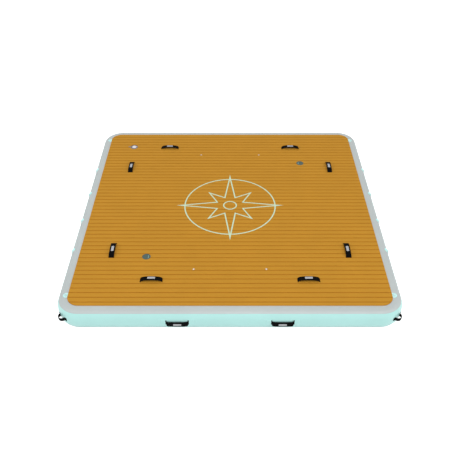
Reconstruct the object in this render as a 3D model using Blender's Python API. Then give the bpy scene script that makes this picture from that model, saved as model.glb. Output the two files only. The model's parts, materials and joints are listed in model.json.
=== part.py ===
"""Inflatable dock platform, metres, +Z up, origin at the middle of its underside.

A square drop-stitch air chamber: two skins tied together by yarns, closed by a bulging side wall
and two rail bands, with a grooved foam pad glued on top. Webbing handles, tie rings on glued
patches, magnetic cup mounts, threaded inserts and the air valve are fastened to that skin.
The front edge faces -Y.
"""

import math

import bmesh
import bpy
from mathutils import Matrix, Vector

for old in list(bpy.data.objects):
    bpy.data.objects.remove(old)

# Driving dimensions of the platform
PLATFORM_WIDTH = 3.048
PLATFORM_HEIGHT = 0.2032
CORNER_RADIUS = 0.218
SKIN = 0.0012
GAP = 0.0003
CUT_OVERRUN = 0.002
WELD_SHARE = 1 / 30

# Side wall: a rounded bulge outside the flat top, and the bands over its seams
WALL_BULGE = 0.056
WALL_SQUARENESS = 2.5
SEAM_INSET = 0.028
BAND_DROP = 0.016
BAND_UNDER_PAD = 0.026
CORNER_STEPS = 8
BAND_STEPS = 3
WALL_STEPS = 3
RIM_SAMPLES = 200

# Drop-stitch yarns, gathered into bundles
BUNDLE_PITCH = 0.310
BUNDLE_SIZE = 0.012
BUNDLE_LEAN = 0.020
BUNDLE_EDGE_SHARE = 1 / 3
BUNDLE_CLEARANCE = 0.010

# Foam deck pad
PAD_MARGIN = 0.096
PAD_CORNER_RADIUS = 0.113
PAD_THICKNESS = 0.006
PLANK_PITCH = 0.05733
FIRST_PLANK = 0.040
GROOVE_WIDTH = 0.012
GROOVE_DEPTH = 0.002
GROOVE_FLOOR_SHARE = 0.6
PAD_CORNER_STEPS = 6

# Webbing handles
STRAP_WIDTH = 0.051
STRAP = 0.002
STRAP_BEND = 0.0015
HANDLE_LENGTH = 0.198
HANDLE_RISE = 0.031
HANDLE_SQUARENESS = 2.6
HANDLE_FOOT = 0.040
HANDLE_STEPS = 8
WALL_HANDLE_LENGTH = 0.187
WALL_HANDLE_RISE = 0.0225
WALL_HANDLE_SQUARENESS = 3.6
WALL_HANDLE_HEIGHT = 0.098
SLOT_CLEARANCE = 0.001

# The short round loops at the corners, of narrower webbing
LOOP_WIDTH = 0.036
LOOP_LENGTH = 0.066
LOOP_RISE = 0.035
LOOP_SQUARENESS = 2.0
LOOP_FOOT = 0.022
LOOP_FOOT_STEPS = 2
LOOP_HEIGHT = 0.0995

# Places of the handles, as distances from the middle of the deck
DECK_HANDLE_ALONG = 0.711
DECK_HANDLE_OUT = 1.118
WALL_HANDLE_ALONG = 0.456

# Tie rings and their glued patches
PATCH_RADIUS = 0.029
PATCH = 0.0015
PATCH_STEPS = 16
PATCH_STRIPS = 5
PATCH_LAP = 0.027
CORNER_PATCH_INSET = 0.084
CORNER_PATCH_FROM_EDGE = 0.222
SIDE_PATCH_SPACING = 0.458
SIDE_PATCH_COUNT = 4
RING_WIRE_RADIUS = 0.002
RING_HALF_WIDTH = 0.0145
RING_CORNER = 0.003
RING_STEPS = 7
TAB_WIDTH = 0.016
TAB_SINK = 0.0007
TAB_STEPS = 5
HANG_TRIES = 30

# Magnetic cup mounts
CUP_MOUNT_RADIUS = 0.0396
CUP_MOUNT_RIM = 0.006
CUP_MOUNT_DISH = 0.0012
CUP_MOUNT_CROWN = 0.0008
MAGNET_RADIUS = 0.0207
MAGNET = 0.003
CUP_MOUNT_FRONT_LEFT = (-0.788, -0.800)
CUP_MOUNT_BACK_RIGHT = (0.799, 0.795)
TURN_STEPS = 20

# Threaded accessory inserts
INSERT_RADIUS = 0.0138
INSERT_HOLE_RADIUS = 0.0025
INSERT_FLOOR = 0.0012
INSERT_CHAMFER = 0.0012
INSERT_X = 0.335
INSERT_Y = 0.971
INSERT_STEPS = 16

# Air valve, heights measured down from its flange top
VALVE_X = -1.138
VALVE_Y = 1.146
FLANGE_RADIUS = 0.0435
FLANGE = 0.003
VALVE_TUBE_RADIUS = 0.019
VALVE_BORE_RADIUS = 0.014
VALVE_LENGTH = 0.034
GUIDE_DEPTH = 0.020
GUIDE = 0.003
LOWER_BORE_RADIUS = 0.0105
AIR_HOLE_RADIUS = 0.003
AIR_HOLE_CIRCLE = 0.0072
AIR_HOLE_COUNT = 4
STEM_RADIUS = 0.0024
STEM_CLEARANCE = 0.0004
BUTTON_RADIUS = 0.0045
BUTTON = 0.002
BUTTON_DEPTH = 0.008
DIAPHRAGM_RADIUS = 0.013
DIAPHRAGM = 0.002
SPRING_WIRE_RADIUS = 0.0004
SPRING_TURNS = 4
SPRING_POINTS = 8
NUT_RADIUS = 0.029
NUT = 0.008
NUT_SIDES = 8
VALVE_HOLE_CLEARANCE = 0.001

# Valve cap, hinged on two ears of the flange
CAP_RADIUS = 0.0240
CAP = 0.005
PLUG_RADIUS = 0.013
PLUG = 0.0018
PULL_LENGTH = 0.0445
PULL_WIDTH = 0.015
PULL_TIP_WIDTH = 0.007
PULL_THICKNESS = 0.002
HINGE_REACH = 0.033
HINGE_PIN_RADIUS = 0.0015
HINGE_CLEARANCE = 0.0003
EAR_WALL = 0.0016
EAR_THICKNESS = 0.003
EAR_SPREAD = 0.009
HINGE_STEPS = 10

# Edges sharper than these angles, in degrees, stay sharp when shaded
SHEET_EDGE = 40
TURNED_EDGE = 50
STRAP_EDGE = 60

# Heights and half widths that the pieces share
HALF = PLATFORM_WIDTH / 2
TOP = PLATFORM_HEIGHT
MIDDLE = PLATFORM_HEIGHT / 2
WALL_HALF = MIDDLE - SKIN - GAP
BULGE_START = HALF - WALL_BULGE
CORNER_CENTRE = HALF - CORNER_RADIUS
SEAM = BULGE_START - SEAM_INSET
PAD_HALF = HALF - PAD_MARGIN
BAND_INNER = PAD_HALF - BAND_UNDER_PAD
DECK = TOP + GAP
PAD_TOP = DECK + PAD_THICKNESS


def material(name, colour, roughness, metallic=0.0):
    """A Principled material; the colour is linear RGB."""
    made = bpy.data.materials.new(name)
    made.use_nodes = True
    shader = made.node_tree.nodes["Principled BSDF"]
    shader.inputs["Base Color"].default_value = (*colour, 1.0)
    shader.inputs["Roughness"].default_value = roughness
    shader.inputs["Metallic"].default_value = metallic
    return made


AQUA_PVC = material("aqua_pvc", (0.50, 0.82, 0.78), 0.45)
GREY_PVC = material("grey_pvc", (0.52, 0.57, 0.57), 0.5)
MINT_PVC = material("mint_pvc", (0.55, 0.86, 0.80), 0.45)
WHITE_FABRIC = material("white_fabric", (0.75, 0.75, 0.73), 0.8)
FOAM = material("orange_brown_foam", (0.56, 0.27, 0.035), 0.75)
WEBBING = material("black_webbing", (0.012, 0.012, 0.013), 0.7)
STEEL = material("polished_steel", (0.62, 0.62, 0.61), 0.25, 1.0)
TEAL_PLASTIC = material("teal_plastic", (0.08, 0.17, 0.14), 0.4)
DARK_PLASTIC = material("dark_grey_plastic", (0.10, 0.11, 0.11), 0.5)
PALE_PLASTIC = material("pale_plastic", (0.78, 0.75, 0.75), 0.4)
RUBBER = material("black_rubber", (0.02, 0.02, 0.02), 0.8)


def linked(name, mesh, finish, smooth_deg=None):
    """A new object of this mesh, with one material, shaded smooth below the given angle."""
    obj = bpy.data.objects.new(name, mesh)
    bpy.context.scene.collection.objects.link(obj)
    if not mesh.materials:
        mesh.materials.append(finish)
    if smooth_deg is not None:
        mesh.shade_smooth()
        mesh.set_sharp_from_angle(angle=math.radians(smooth_deg))
    return obj


def mesh_from(name, verts, faces):
    """A mesh whose faces are turned to face out."""
    mesh = bpy.data.meshes.new(name)
    mesh.from_pydata([tuple(v) for v in verts], [], faces)
    bm = bmesh.new()
    bm.from_mesh(mesh)
    bmesh.ops.recalc_face_normals(bm, faces=bm.faces)
    bm.to_mesh(mesh)
    bm.free()
    return mesh


def helper(name, mesh):
    """A cutter or an added shape that only a Boolean uses."""
    obj = bpy.data.objects.new(name, mesh)
    bpy.context.scene.collection.objects.link(obj)
    obj.hide_render = True
    obj.display_type = "WIRE"
    return obj


def boolean(obj, other, operation="DIFFERENCE"):
    modifier = obj.modifiers.new(other.name, "BOOLEAN")
    modifier.operation = operation
    modifier.object = other
    modifier.solver = "EXACT"


def rounded_square(half, radius, steps):
    """The outline of a square with round corners, anticlockwise."""
    centre = half - radius
    outline = []
    for quarter, (sx, sy) in enumerate(((1, 1), (-1, 1), (-1, -1), (1, -1))):
        for i in range(steps + 1):
            angle = math.pi / 2 * (quarter + i / steps)
            x = sx * centre + radius * math.cos(angle)
            y = sy * centre + radius * math.sin(angle)
            outline.append((x, y))
    return outline


def circle(radius, steps, x=0.0, y=0.0):
    turns = [math.tau * i / steps for i in range(steps)]
    return [(x + radius * math.cos(a), y + radius * math.sin(a)) for a in turns]


def rectangle(x0, x1, y0, y1):
    return [(x0, y0), (x1, y0), (x1, y1), (x0, y1)]


def prism(name, outline, low, high):
    """A closed solid between two heights over an outline of (x, y) points."""
    count = len(outline)
    verts = [(x, y, low) for x, y in outline] + [(x, y, high) for x, y in outline]
    faces = [tuple(range(count)), tuple(range(count, 2 * count))]
    for i in range(count):
        j = (i + 1) % count
        faces.append((i, j, count + j, count + i))
    return mesh_from(name, verts, faces)


def turned(name, profile, steps):
    """A solid of revolution about Z from (radius, height) points, by a Screw on the open profile."""
    mesh = bpy.data.meshes.new(name)
    edges = [(i, i + 1) for i in range(len(profile) - 1)]
    if profile[0][0] > 0:
        edges.append((len(profile) - 1, 0))
    mesh.from_pydata([(r, 0, z) for r, z in profile], edges, [])
    spun = bpy.data.objects.new(name + "_spun", mesh)
    screw = spun.modifiers.new("turn", "SCREW")
    screw.steps = steps
    screw.render_steps = steps
    screw.use_merge_vertices = True
    screw.merge_threshold = GAP * WELD_SHARE
    bpy.context.scene.collection.objects.link(spun)
    bpy.context.view_layer.update()
    graph = bpy.context.evaluated_depsgraph_get()
    solid = bpy.data.meshes.new_from_object(spun.evaluated_get(graph))
    bpy.data.objects.remove(spun)
    bm = bmesh.new()
    bm.from_mesh(solid)
    bmesh.ops.recalc_face_normals(bm, faces=bm.faces)
    bm.to_mesh(solid)
    bm.free()
    solid.name = name
    return solid


def joined(name, *meshes):
    """One mesh that holds several closed shapes, for cutting with them all at once."""
    bm = bmesh.new()
    for mesh in meshes:
        bm.from_mesh(mesh)
    whole = bpy.data.meshes.new(name)
    bm.to_mesh(whole)
    bm.free()
    return whole


def moved(mesh, matrix):
    mesh.transform(matrix)
    return mesh


# The rim: a superellipse quarter above the middle and its mirror image below
BAND_EDGE_ANGLE = math.asin(((WALL_HALF - BAND_DROP) / WALL_HALF) ** (WALL_SQUARENESS / 2))


def rim_normal(angle):
    """The wall's outward direction at this angle of the rim."""
    c, s = abs(math.cos(angle)), math.sin(angle)
    power = 2 - 2 / WALL_SQUARENESS
    out, up = WALL_HALF * c**power, math.copysign(WALL_BULGE * abs(s) ** power, s)
    length = math.hypot(out, up)
    return out / length, up / length


def rim_point(angle, offset):
    """(distance from the middle, height above the middle) on the wall, pushed out along its normal."""
    c, s = abs(math.cos(angle)), math.sin(angle)
    power = 2 / WALL_SQUARENESS
    out, up = rim_normal(angle)
    x = BULGE_START + WALL_BULGE * c**power
    z = math.copysign(WALL_HALF * abs(s) ** power, s)
    return x + offset * out, z + offset * up


def stations(first, last, steps):
    return [first + (last - first) * i / steps for i in range(steps + 1)]


UPPER_ANGLES = stations(math.pi / 2, BAND_EDGE_ANGLE, BAND_STEPS)
FREE_ANGLES = stations(BAND_EDGE_ANGLE, 0.0, WALL_STEPS)


def swept_round(name, profile):
    """A closed band along the platform's edge; the profile is a loop of (distance, height) points."""
    count = len(profile)
    verts = []
    for quarter, (sx, sy) in enumerate(((1, 1), (-1, 1), (-1, -1), (1, -1))):
        for i in range(CORNER_STEPS + 1):
            angle = math.pi / 2 * (quarter + i / CORNER_STEPS)
            for distance, height in profile:
                reach = distance - CORNER_CENTRE
                x = sx * CORNER_CENTRE + reach * math.cos(angle)
                y = sy * CORNER_CENTRE + reach * math.sin(angle)
                verts.append((x, y, height))
    rings = len(verts) // count
    faces = []
    for ring in range(rings):
        after = (ring + 1) % rings
        for i in range(count):
            j = (i + 1) % count
            faces.append((ring * count + i, ring * count + j, after * count + j, after * count + i))
    return mesh_from(name, verts, faces)


def build_side_wall():
    upper = UPPER_ANGLES + FREE_ANGLES[1:]
    angles = upper + [-a for a in reversed(upper[:-1])]
    outer = [rim_point(a, 0.0) for a in angles]
    inner = [rim_point(a, -SKIN) for a in reversed(angles)]
    start = SEAM + GAP
    loop = [(start, WALL_HALF)] + outer + [(start, -WALL_HALF)]
    loop += [(start, SKIN - WALL_HALF)] + inner + [(start, WALL_HALF - SKIN)]
    profile = [(x, MIDDLE + z) for x, z in loop]
    linked("side_wall", swept_round("side_wall", profile), AQUA_PVC, SHEET_EDGE)


def build_rail_band(name, side):
    """The band over one seam: side is 1 for the top and -1 for the underside."""
    outer = [rim_point(a, GAP + SKIN) for a in UPPER_ANGLES]
    inner = [rim_point(a, GAP) for a in reversed(UPPER_ANGLES)]
    loop = [(BAND_INNER + GAP, MIDDLE)] + outer + inner + [(BAND_INNER + GAP, MIDDLE - SKIN)]
    profile = [(x, MIDDLE + side * z) for x, z in loop]
    linked(name, swept_round(name, profile), GREY_PVC, SHEET_EDGE)


def valve_hole(radius, low, high):
    return prism("valve_hole", circle(radius, TURN_STEPS, VALVE_X, VALVE_Y), low, high)


def build_skins():
    """The coated layers over the chamber's flat faces; the upper one has the valve's hole."""
    outline = rounded_square(BAND_INNER, BAND_INNER - CORNER_CENTRE, CORNER_STEPS)
    top = linked("top_skin", prism("top_skin", outline, TOP - SKIN, TOP), GREY_PVC)
    linked("bottom_skin", prism("bottom_skin", outline, 0.0, SKIN), GREY_PVC)
    low, high = TOP - SKIN - CUT_OVERRUN, TOP + CUT_OVERRUN
    hole = valve_hole(VALVE_TUBE_RADIUS + VALVE_HOLE_CLEARANCE, low, high)
    boolean(top, helper("top_skin_valve_hole", hole))


def build_drop_stitch_core():
    """Two base fabrics with the yarn bundles between them, leaning to and fro as woven."""
    inner_top = MIDDLE + WALL_HALF - SKIN
    inner_bottom = MIDDLE - WALL_HALF + SKIN
    outline = rounded_square(SEAM, SEAM - CORNER_CENTRE, CORNER_STEPS)
    bm = bmesh.new()

    def loop_at(points, height):
        verts = [bm.verts.new((x, y, height)) for x, y in points]
        edges = [bm.edges.new((verts[i - 1], verts[i])) for i in range(len(verts))]
        return verts, edges

    per_side = int(2 * (SEAM - BUNDLE_PITCH * BUNDLE_EDGE_SHARE) / BUNDLE_PITCH)
    first = -(per_side - 1) / 2 * BUNDLE_PITCH
    half = BUNDLE_SIZE / 2
    clear_of_valve = NUT_RADIUS + BUNDLE_LEAN / 2 + BUNDLE_SIZE + BUNDLE_CLEARANCE
    top_verts, top_edges = loop_at(outline, inner_top)
    low_verts, low_edges = loop_at(outline, inner_bottom)
    for row in range(per_side):
        for column in range(per_side):
            x = first + column * BUNDLE_PITCH
            y = first + row * BUNDLE_PITCH
            if math.dist((x, y), (VALVE_X, VALVE_Y)) < clear_of_valve:
                continue
            lean = BUNDLE_LEAN / 2 * (1 if (row + column) % 2 else -1)
            square = [(x + half * i, y + half * j) for i, j in ((-1, -1), (1, -1), (1, 1), (-1, 1))]
            upper, upper_edges = loop_at([(u + lean, v) for u, v in square], inner_top)
            lower, lower_edges = loop_at([(u - lean, v) for u, v in square], inner_bottom)
            top_edges += upper_edges
            low_edges += lower_edges
            for i in range(4):
                bm.faces.new((upper[i - 1], upper[i], lower[i], lower[i - 1]))
    bmesh.ops.triangle_fill(bm, use_beauty=True, edges=top_edges)
    bmesh.ops.triangle_fill(bm, use_beauty=True, edges=low_edges)
    for verts, height in ((top_verts, inner_top + SKIN), (low_verts, inner_bottom - SKIN)):
        rim = [bm.verts.new((v.co.x, v.co.y, height)) for v in verts]
        bm.faces.new(rim)
        for i in range(len(rim)):
            bm.faces.new((verts[i - 1], verts[i], rim[i], rim[i - 1]))
    bmesh.ops.recalc_face_normals(bm, faces=bm.faces)
    mesh = bpy.data.meshes.new("drop_stitch_core")
    bm.to_mesh(mesh)
    bm.free()
    core = linked("drop_stitch_core", mesh, WHITE_FABRIC)
    low, high = inner_top - CUT_OVERRUN, inner_top + SKIN + CUT_OVERRUN
    hole = valve_hole(VALVE_TUBE_RADIUS + VALVE_HOLE_CLEARANCE, low, high)
    boolean(core, helper("core_valve_hole", hole))


def handle_path(length, height, squareness, foot, foot_steps=1):
    """Centre line of a strap as (along, out) points: foot, bend, arch, bend, foot."""
    half = (length - STRAP) / 2
    bend = STRAP_BEND + STRAP / 2
    low = GAP + STRAP / 2
    points = [(-half - bend - foot * (1 - i / foot_steps), low) for i in range(foot_steps + 1)]
    middle = math.pi / 4
    points.append((-half - bend + bend * math.sin(middle), low + bend - bend * math.cos(middle)))
    power = 2 / squareness
    rise = height - STRAP / 2 - low - bend
    for i in range(HANDLE_STEPS + 1):
        angle = math.pi * i / HANDLE_STEPS
        along = abs(math.cos(angle)) ** power * (1 if i > HANDLE_STEPS / 2 else -1)
        points.append((half * along, low + bend + rise * abs(math.sin(angle)) ** power))
    mirrored = [(-x, z) for x, z in reversed(points[: foot_steps + 2])]
    return points + mirrored


def strap_mesh(name, path, width, place):
    """A flat strap along a path; place turns (along, across, out) into a point in space."""
    verts = []
    last = len(path) - 1
    for i, (x, z) in enumerate(path):
        before, after = path[max(i - 1, 0)], path[min(i + 1, last)]
        direction = Vector((after[0] - before[0], after[1] - before[1])).normalized()
        nx, nz = -direction.y * STRAP / 2, direction.x * STRAP / 2
        for side, out in ((-1, -1), (1, -1), (1, 1), (-1, 1)):
            verts.append(place(x + out * nx, side * width / 2, z + out * nz))
    faces = [(0, 1, 2, 3), tuple(4 * last + i for i in range(4))]
    for i in range(last):
        for k in range(4):
            j = (k + 1) % 4
            faces.append((4 * i + k, 4 * i + j, 4 * i + 4 + j, 4 * i + 4 + k))
    return mesh_from(name, verts, faces)


SIDES = (("left", -1), ("right", 1))
ENDS = (("front", -1), ("back", 1))


def deck_handle_places():
    """(name, x, y, turn) of the eight handles on the deck."""
    for end, sy in ENDS:
        for side, sx in SIDES:
            yield f"deck_handle_{end}_{side}", sx * DECK_HANDLE_ALONG, sy * DECK_HANDLE_OUT, 0.0
            yield f"side_handle_{end}_{side}", sx * DECK_HANDLE_OUT, sy * DECK_HANDLE_ALONG, math.pi / 2


def build_handles():
    def as_it_is(x, y, z):
        return (x, y, z)

    path = handle_path(HANDLE_LENGTH, HANDLE_RISE, HANDLE_SQUARENESS, HANDLE_FOOT)
    high = strap_mesh("deck_handle", path, STRAP_WIDTH, as_it_is)
    for name, x, y, turn in deck_handle_places():
        handle = linked(name, high, WEBBING, STRAP_EDGE)
        handle.location = (x, y, TOP)
        handle.rotation_euler.z = turn

    path = handle_path(WALL_HANDLE_LENGTH, WALL_HANDLE_RISE, WALL_HANDLE_SQUARENESS, HANDLE_FOOT)
    shallow = strap_mesh("wall_handle", path, STRAP_WIDTH, as_it_is)
    for end, sy in ENDS:
        for side, sx in SIDES:
            handle = linked(f"wall_handle_{end}_{side}", shallow, WEBBING, STRAP_EDGE)
            upright = Matrix.Rotation(math.pi / 2, 4, "X")
            facing = Matrix.Rotation(0.0 if sy < 0 else math.pi, 4, "Z")
            place = Matrix.Translation((sx * WALL_HANDLE_ALONG, sy * HALF, WALL_HANDLE_HEIGHT))
            handle.matrix_world = place @ facing @ upright

    def round_corner(along, across, out):
        angle = along / CORNER_RADIUS
        reach = CORNER_RADIUS + out
        return (reach * math.cos(angle), reach * math.sin(angle), across)

    path = handle_path(LOOP_LENGTH, LOOP_RISE, LOOP_SQUARENESS, LOOP_FOOT, LOOP_FOOT_STEPS)
    bent = strap_mesh("corner_handle", path, LOOP_WIDTH, round_corner)
    for end, sy in ENDS:
        for side, sx in SIDES:
            handle = linked(f"corner_handle_{end}_{side}", bent, WEBBING, STRAP_EDGE)
            handle.location = (sx * CORNER_CENTRE, sy * CORNER_CENTRE, LOOP_HEIGHT)
            handle.rotation_euler.z = math.atan2(sy, sx)


def handle_slots():
    """Pockets for the strap feet in the pad's underside, and the slots the straps rise through."""
    half = HANDLE_LENGTH / 2
    across = STRAP_WIDTH / 2 + SLOT_CLEARANCE
    pocket_top = TOP + GAP + STRAP + GAP
    foot_end = half + STRAP_BEND + STRAP / 2 + HANDLE_FOOT + SLOT_CLEARANCE
    slot_in = half - STRAP - 2 * SLOT_CLEARANCE
    slot_out = half + STRAP_BEND + 2 * SLOT_CLEARANCE
    for name, x, y, turn in deck_handle_places():
        place = Matrix.Translation((x, y, 0)) @ Matrix.Rotation(turn, 4, "Z")
        for end in (-1, 1):
            pocket = rectangle(end * slot_in, end * foot_end, -across, across)
            yield moved(prism("pocket", pocket, TOP - CUT_OVERRUN, pocket_top), place)
            slot = rectangle(end * slot_in, end * slot_out, -across, across)
            yield moved(prism("slot", slot, pocket_top - GAP, PAD_TOP + CUT_OVERRUN), place)


def build_deck_pad():
    """The grooved foam sheet: a plank profile run across, trimmed to its rounded outline and cut out."""
    floor_half = GROOVE_WIDTH * GROOVE_FLOOR_SHARE / 2
    mouth_half = GROOVE_WIDTH / 2
    reach = PAD_HALF + CUT_OVERRUN
    profile = [(-reach, DECK), (-reach, PAD_TOP)]
    y = FIRST_PLANK - PAD_HALF
    while y < PAD_HALF - GROOVE_WIDTH:
        profile.append((y - mouth_half, PAD_TOP))
        profile.append((y - floor_half, PAD_TOP - GROOVE_DEPTH))
        profile.append((y + floor_half, PAD_TOP - GROOVE_DEPTH))
        profile.append((y + mouth_half, PAD_TOP))
        y += PLANK_PITCH
    profile += [(reach, PAD_TOP), (reach, DECK)]
    count = len(profile)
    verts = [(-reach, v, z) for v, z in profile] + [(reach, v, z) for v, z in profile]
    faces = [tuple(range(count)), tuple(range(count, 2 * count))]
    for i in range(count):
        j = (i + 1) % count
        faces.append((i, j, count + j, count + i))
    pad = linked("deck_pad", mesh_from("deck_pad", verts, faces), FOAM)
    outline = rounded_square(PAD_HALF, PAD_CORNER_RADIUS, PAD_CORNER_STEPS)
    trim = prism("pad_outline", outline, DECK - CUT_OVERRUN, PAD_TOP + CUT_OVERRUN)
    boolean(pad, helper("pad_outline", trim), "INTERSECT")
    slots = list(handle_slots())
    boolean(pad, helper("pad_pockets", joined("pad_pockets", *slots[::2])))
    boolean(pad, helper("pad_slots", joined("pad_slots", *slots[1::2])))
    low, high = DECK - CUT_OVERRUN, PAD_TOP + CUT_OVERRUN
    holes = [valve_hole(FLANGE_RADIUS + SLOT_CLEARANCE, low, high)]
    for name, x, y in cup_mount_places():
        holes.append(prism(name, circle(CUP_MOUNT_RADIUS + SLOT_CLEARANCE, TURN_STEPS, x, y), low, high))
    for name, x, y in insert_places():
        holes.append(prism(name, circle(INSERT_RADIUS + SLOT_CLEARANCE, INSERT_STEPS, x, y), low, high))
    patch_top = DECK + PATCH + GAP
    for name, x, y, turn in corner_patch_places():
        holes.append(prism(name, circle(PATCH_RADIUS + SLOT_CLEARANCE, PATCH_STEPS, x, y), low, patch_top))
    boolean(pad, helper("pad_holes", joined("pad_holes", *holes)))


def cup_mount_places():
    yield "cup_mount_front_left", *CUP_MOUNT_FRONT_LEFT
    yield "cup_mount_back_right", *CUP_MOUNT_BACK_RIGHT


def insert_places():
    for end, sy in ENDS:
        for side, sx in SIDES:
            yield f"accessory_insert_{end}_{side}", sx * INSERT_X, sy * INSERT_Y


def build_cup_mounts():
    """A dished plastic disc with a magnet let into its underside."""
    height = PAD_THICKNESS
    pocket = MAGNET + GAP
    rim = CUP_MOUNT_RADIUS - CUP_MOUNT_RIM
    profile = [
        (0.0, height - CUP_MOUNT_DISH),
        (rim - CUP_MOUNT_RIM / 2, height - CUP_MOUNT_DISH),
        (rim, height),
        (CUP_MOUNT_RADIUS - CUP_MOUNT_CROWN, height),
        (CUP_MOUNT_RADIUS, height - CUP_MOUNT_CROWN),
        (CUP_MOUNT_RADIUS, 0.0),
        (MAGNET_RADIUS + GAP, 0.0),
        (MAGNET_RADIUS + GAP, pocket),
        (0.0, pocket),
    ]
    mount = turned("cup_mount", profile, TURN_STEPS)
    magnet = prism("magnet", circle(MAGNET_RADIUS, TURN_STEPS), 0.0, MAGNET)
    for name, x, y in cup_mount_places():
        linked(name, mount, TEAL_PLASTIC, TURNED_EDGE).location = (x, y, DECK)
        linked(name.replace("cup_mount", "magnet"), magnet, STEEL, TURNED_EDGE).location = (x, y, DECK)


def build_inserts():
    height = PAD_THICKNESS
    profile = [
        (0.0, INSERT_FLOOR),
        (INSERT_HOLE_RADIUS, INSERT_FLOOR),
        (INSERT_HOLE_RADIUS, height),
        (INSERT_RADIUS - INSERT_CHAMFER, height),
        (INSERT_RADIUS, height - INSERT_CHAMFER),
        (INSERT_RADIUS, 0.0),
        (0.0, 0.0),
    ]
    mesh = turned("accessory_insert", profile, INSERT_STEPS)
    for name, x, y in insert_places():
        linked(name, mesh, PALE_PLASTIC, TURNED_EDGE).location = (x, y, DECK)


def corner_patch_places():
    """(name, x, y, turn) of the patches on the top band, near the corners; turn faces outboard."""
    for end, sy in ENDS:
        for side, sx in SIDES:
            x, y = HALF - CORNER_PATCH_INSET, HALF - CORNER_PATCH_FROM_EDGE
            yield f"{end}_{side}", sx * x, sy * y, 0.0 if sx > 0 else math.pi


def side_patch_places():
    """(name, x sign, y) of the patches on the left and right walls, front to back."""
    for side, sx in SIDES:
        for i in range(SIDE_PATCH_COUNT):
            y = (i - (SIDE_PATCH_COUNT - 1) / 2) * SIDE_PATCH_SPACING
            yield f"{side}_{i + 1}", sx, y


def rim_angle_at(length):
    """The rim angle this far along the wall from the edge of its flat top."""
    travelled = 0.0
    angles = stations(math.pi / 2, 0.0, RIM_SAMPLES)
    for before, after in zip(angles, angles[1:]):
        travelled += math.dist(rim_point(before, 0.0), rim_point(after, 0.0))
        if travelled >= length:
            return after
    return 0.0


def rim_length_to(angle_end):
    points = [rim_point(a, 0.0) for a in stations(math.pi / 2, angle_end, RIM_SAMPLES)]
    return sum(math.dist(a, b) for a, b in zip(points, points[1:]))


PATCH_PLACE = rim_length_to(BAND_EDGE_ANGLE) + PATCH_RADIUS - PATCH_LAP
PIVOT_RISE = RING_WIRE_RADIUS + GAP
TAB_INNER = PIVOT_RISE + GAP
PATCH_LAYER = GAP + SKIN + GAP


def patch_frame(offset):
    """(distance, height, normal angle) at the middle of a side patch, on its outer face."""
    angle = rim_angle_at(PATCH_PLACE)
    out, up = rim_normal(angle)
    return *rim_point(angle, offset), math.atan2(up, out)


def hang_angle():
    """How far a side ring swings in from the tangent before it rests against the curved patch."""
    x, z, normal = patch_frame(PATCH_LAYER + PATCH)
    pivot_x = x + PIVOT_RISE * math.cos(normal)
    pivot_z = z + PIVOT_RISE * math.sin(normal)
    near = rim_angle_at(PATCH_PLACE)
    far = rim_angle_at(PATCH_PLACE + PATCH_RADIUS)
    surface = [rim_point(a, PATCH_LAYER + PATCH) for a in stations(near, far, RIM_SAMPLES)]
    for step in range(HANG_TRIES):
        down = normal - math.pi / 2 - math.radians(step)
        for share in stations(0.0, 1.0, RING_STEPS)[1:]:
            reach = RING_HALF_WIDTH * share
            end = (pivot_x + reach * math.cos(down), pivot_z + reach * math.sin(down))
            if min(math.dist(end, point) for point in surface) < PIVOT_RISE - GAP / 2:
                return math.radians(max(step - 1, 0))
    return math.radians(HANG_TRIES)


def tab_mesh():
    """The webbing loop that holds the ring's bar: an arch along Y, its feet sunk into the patch."""
    clear = TAB_INNER / math.cos(math.pi / TAB_STEPS / 2)
    outline = []
    for radius, turns in ((clear + SKIN, (math.pi, 0.0)), (clear, (0.0, math.pi))):
        turned_points = [(radius * math.cos(a), radius * math.sin(a)) for a in stations(*turns, TAB_STEPS)]
        arch = [(x, PIVOT_RISE + z) for x, z in turned_points]
        outline += [(arch[0][0], -TAB_SINK), *arch, (arch[-1][0], -TAB_SINK)]
    mesh = prism("tab", outline, -TAB_WIDTH / 2, TAB_WIDTH / 2)
    return moved(mesh, Matrix.Rotation(math.pi / 2, 4, "X"))


def patch_mesh(name, place):
    """A round patch whose points are placed by (along the surface, across, above it)."""
    bm = bmesh.new()
    rim = [bm.verts.new((x, y, 0)) for x, y in circle(PATCH_RADIUS, PATCH_STEPS)]
    bm.faces.new(rim)
    for i in range(1, PATCH_STRIPS):
        cut = PATCH_RADIUS * (2 * i / PATCH_STRIPS - 1)
        geometry = bm.verts[:] + bm.edges[:] + bm.faces[:]
        bmesh.ops.bisect_plane(bm, geom=geometry, plane_co=(cut, 0, 0), plane_no=(1, 0, 0))
    made = bmesh.ops.extrude_face_region(bm, geom=bm.faces[:])
    for vert in (item for item in made["geom"] if isinstance(item, bmesh.types.BMVert)):
        vert.co.z = PATCH
    for vert in bm.verts:
        vert.co = place(*vert.co)
    bmesh.ops.recalc_face_normals(bm, faces=bm.faces)
    mesh = bpy.data.meshes.new(name)
    bm.to_mesh(mesh)
    bm.free()
    return mesh


def ring_curve():
    """The steel ring: a bar on the Y axis and a half round that lies outboard, towards +X."""
    curve = bpy.data.curves.new("tie_ring", "CURVE")
    curve.dimensions = "3D"
    curve.bevel_depth = RING_WIRE_RADIUS
    curve.bevel_resolution = 1
    spline = curve.splines.new("POLY")
    corner = math.asin(RING_CORNER / RING_HALF_WIDTH)
    straight = RING_HALF_WIDTH - RING_CORNER
    points = [(0.0, straight), (0.0, -straight)]
    for angle in stations(corner - math.pi / 2, math.pi / 2 - corner, RING_STEPS):
        points.append((RING_HALF_WIDTH * math.cos(angle), RING_HALF_WIDTH * math.sin(angle)))
    spline.points.add(len(points) - 1)
    for point, (x, y) in zip(spline.points, points):
        point.co = (x, y, 0, 1)
    spline.use_cyclic_u = True
    curve.materials.append(STEEL)
    return curve


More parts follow.
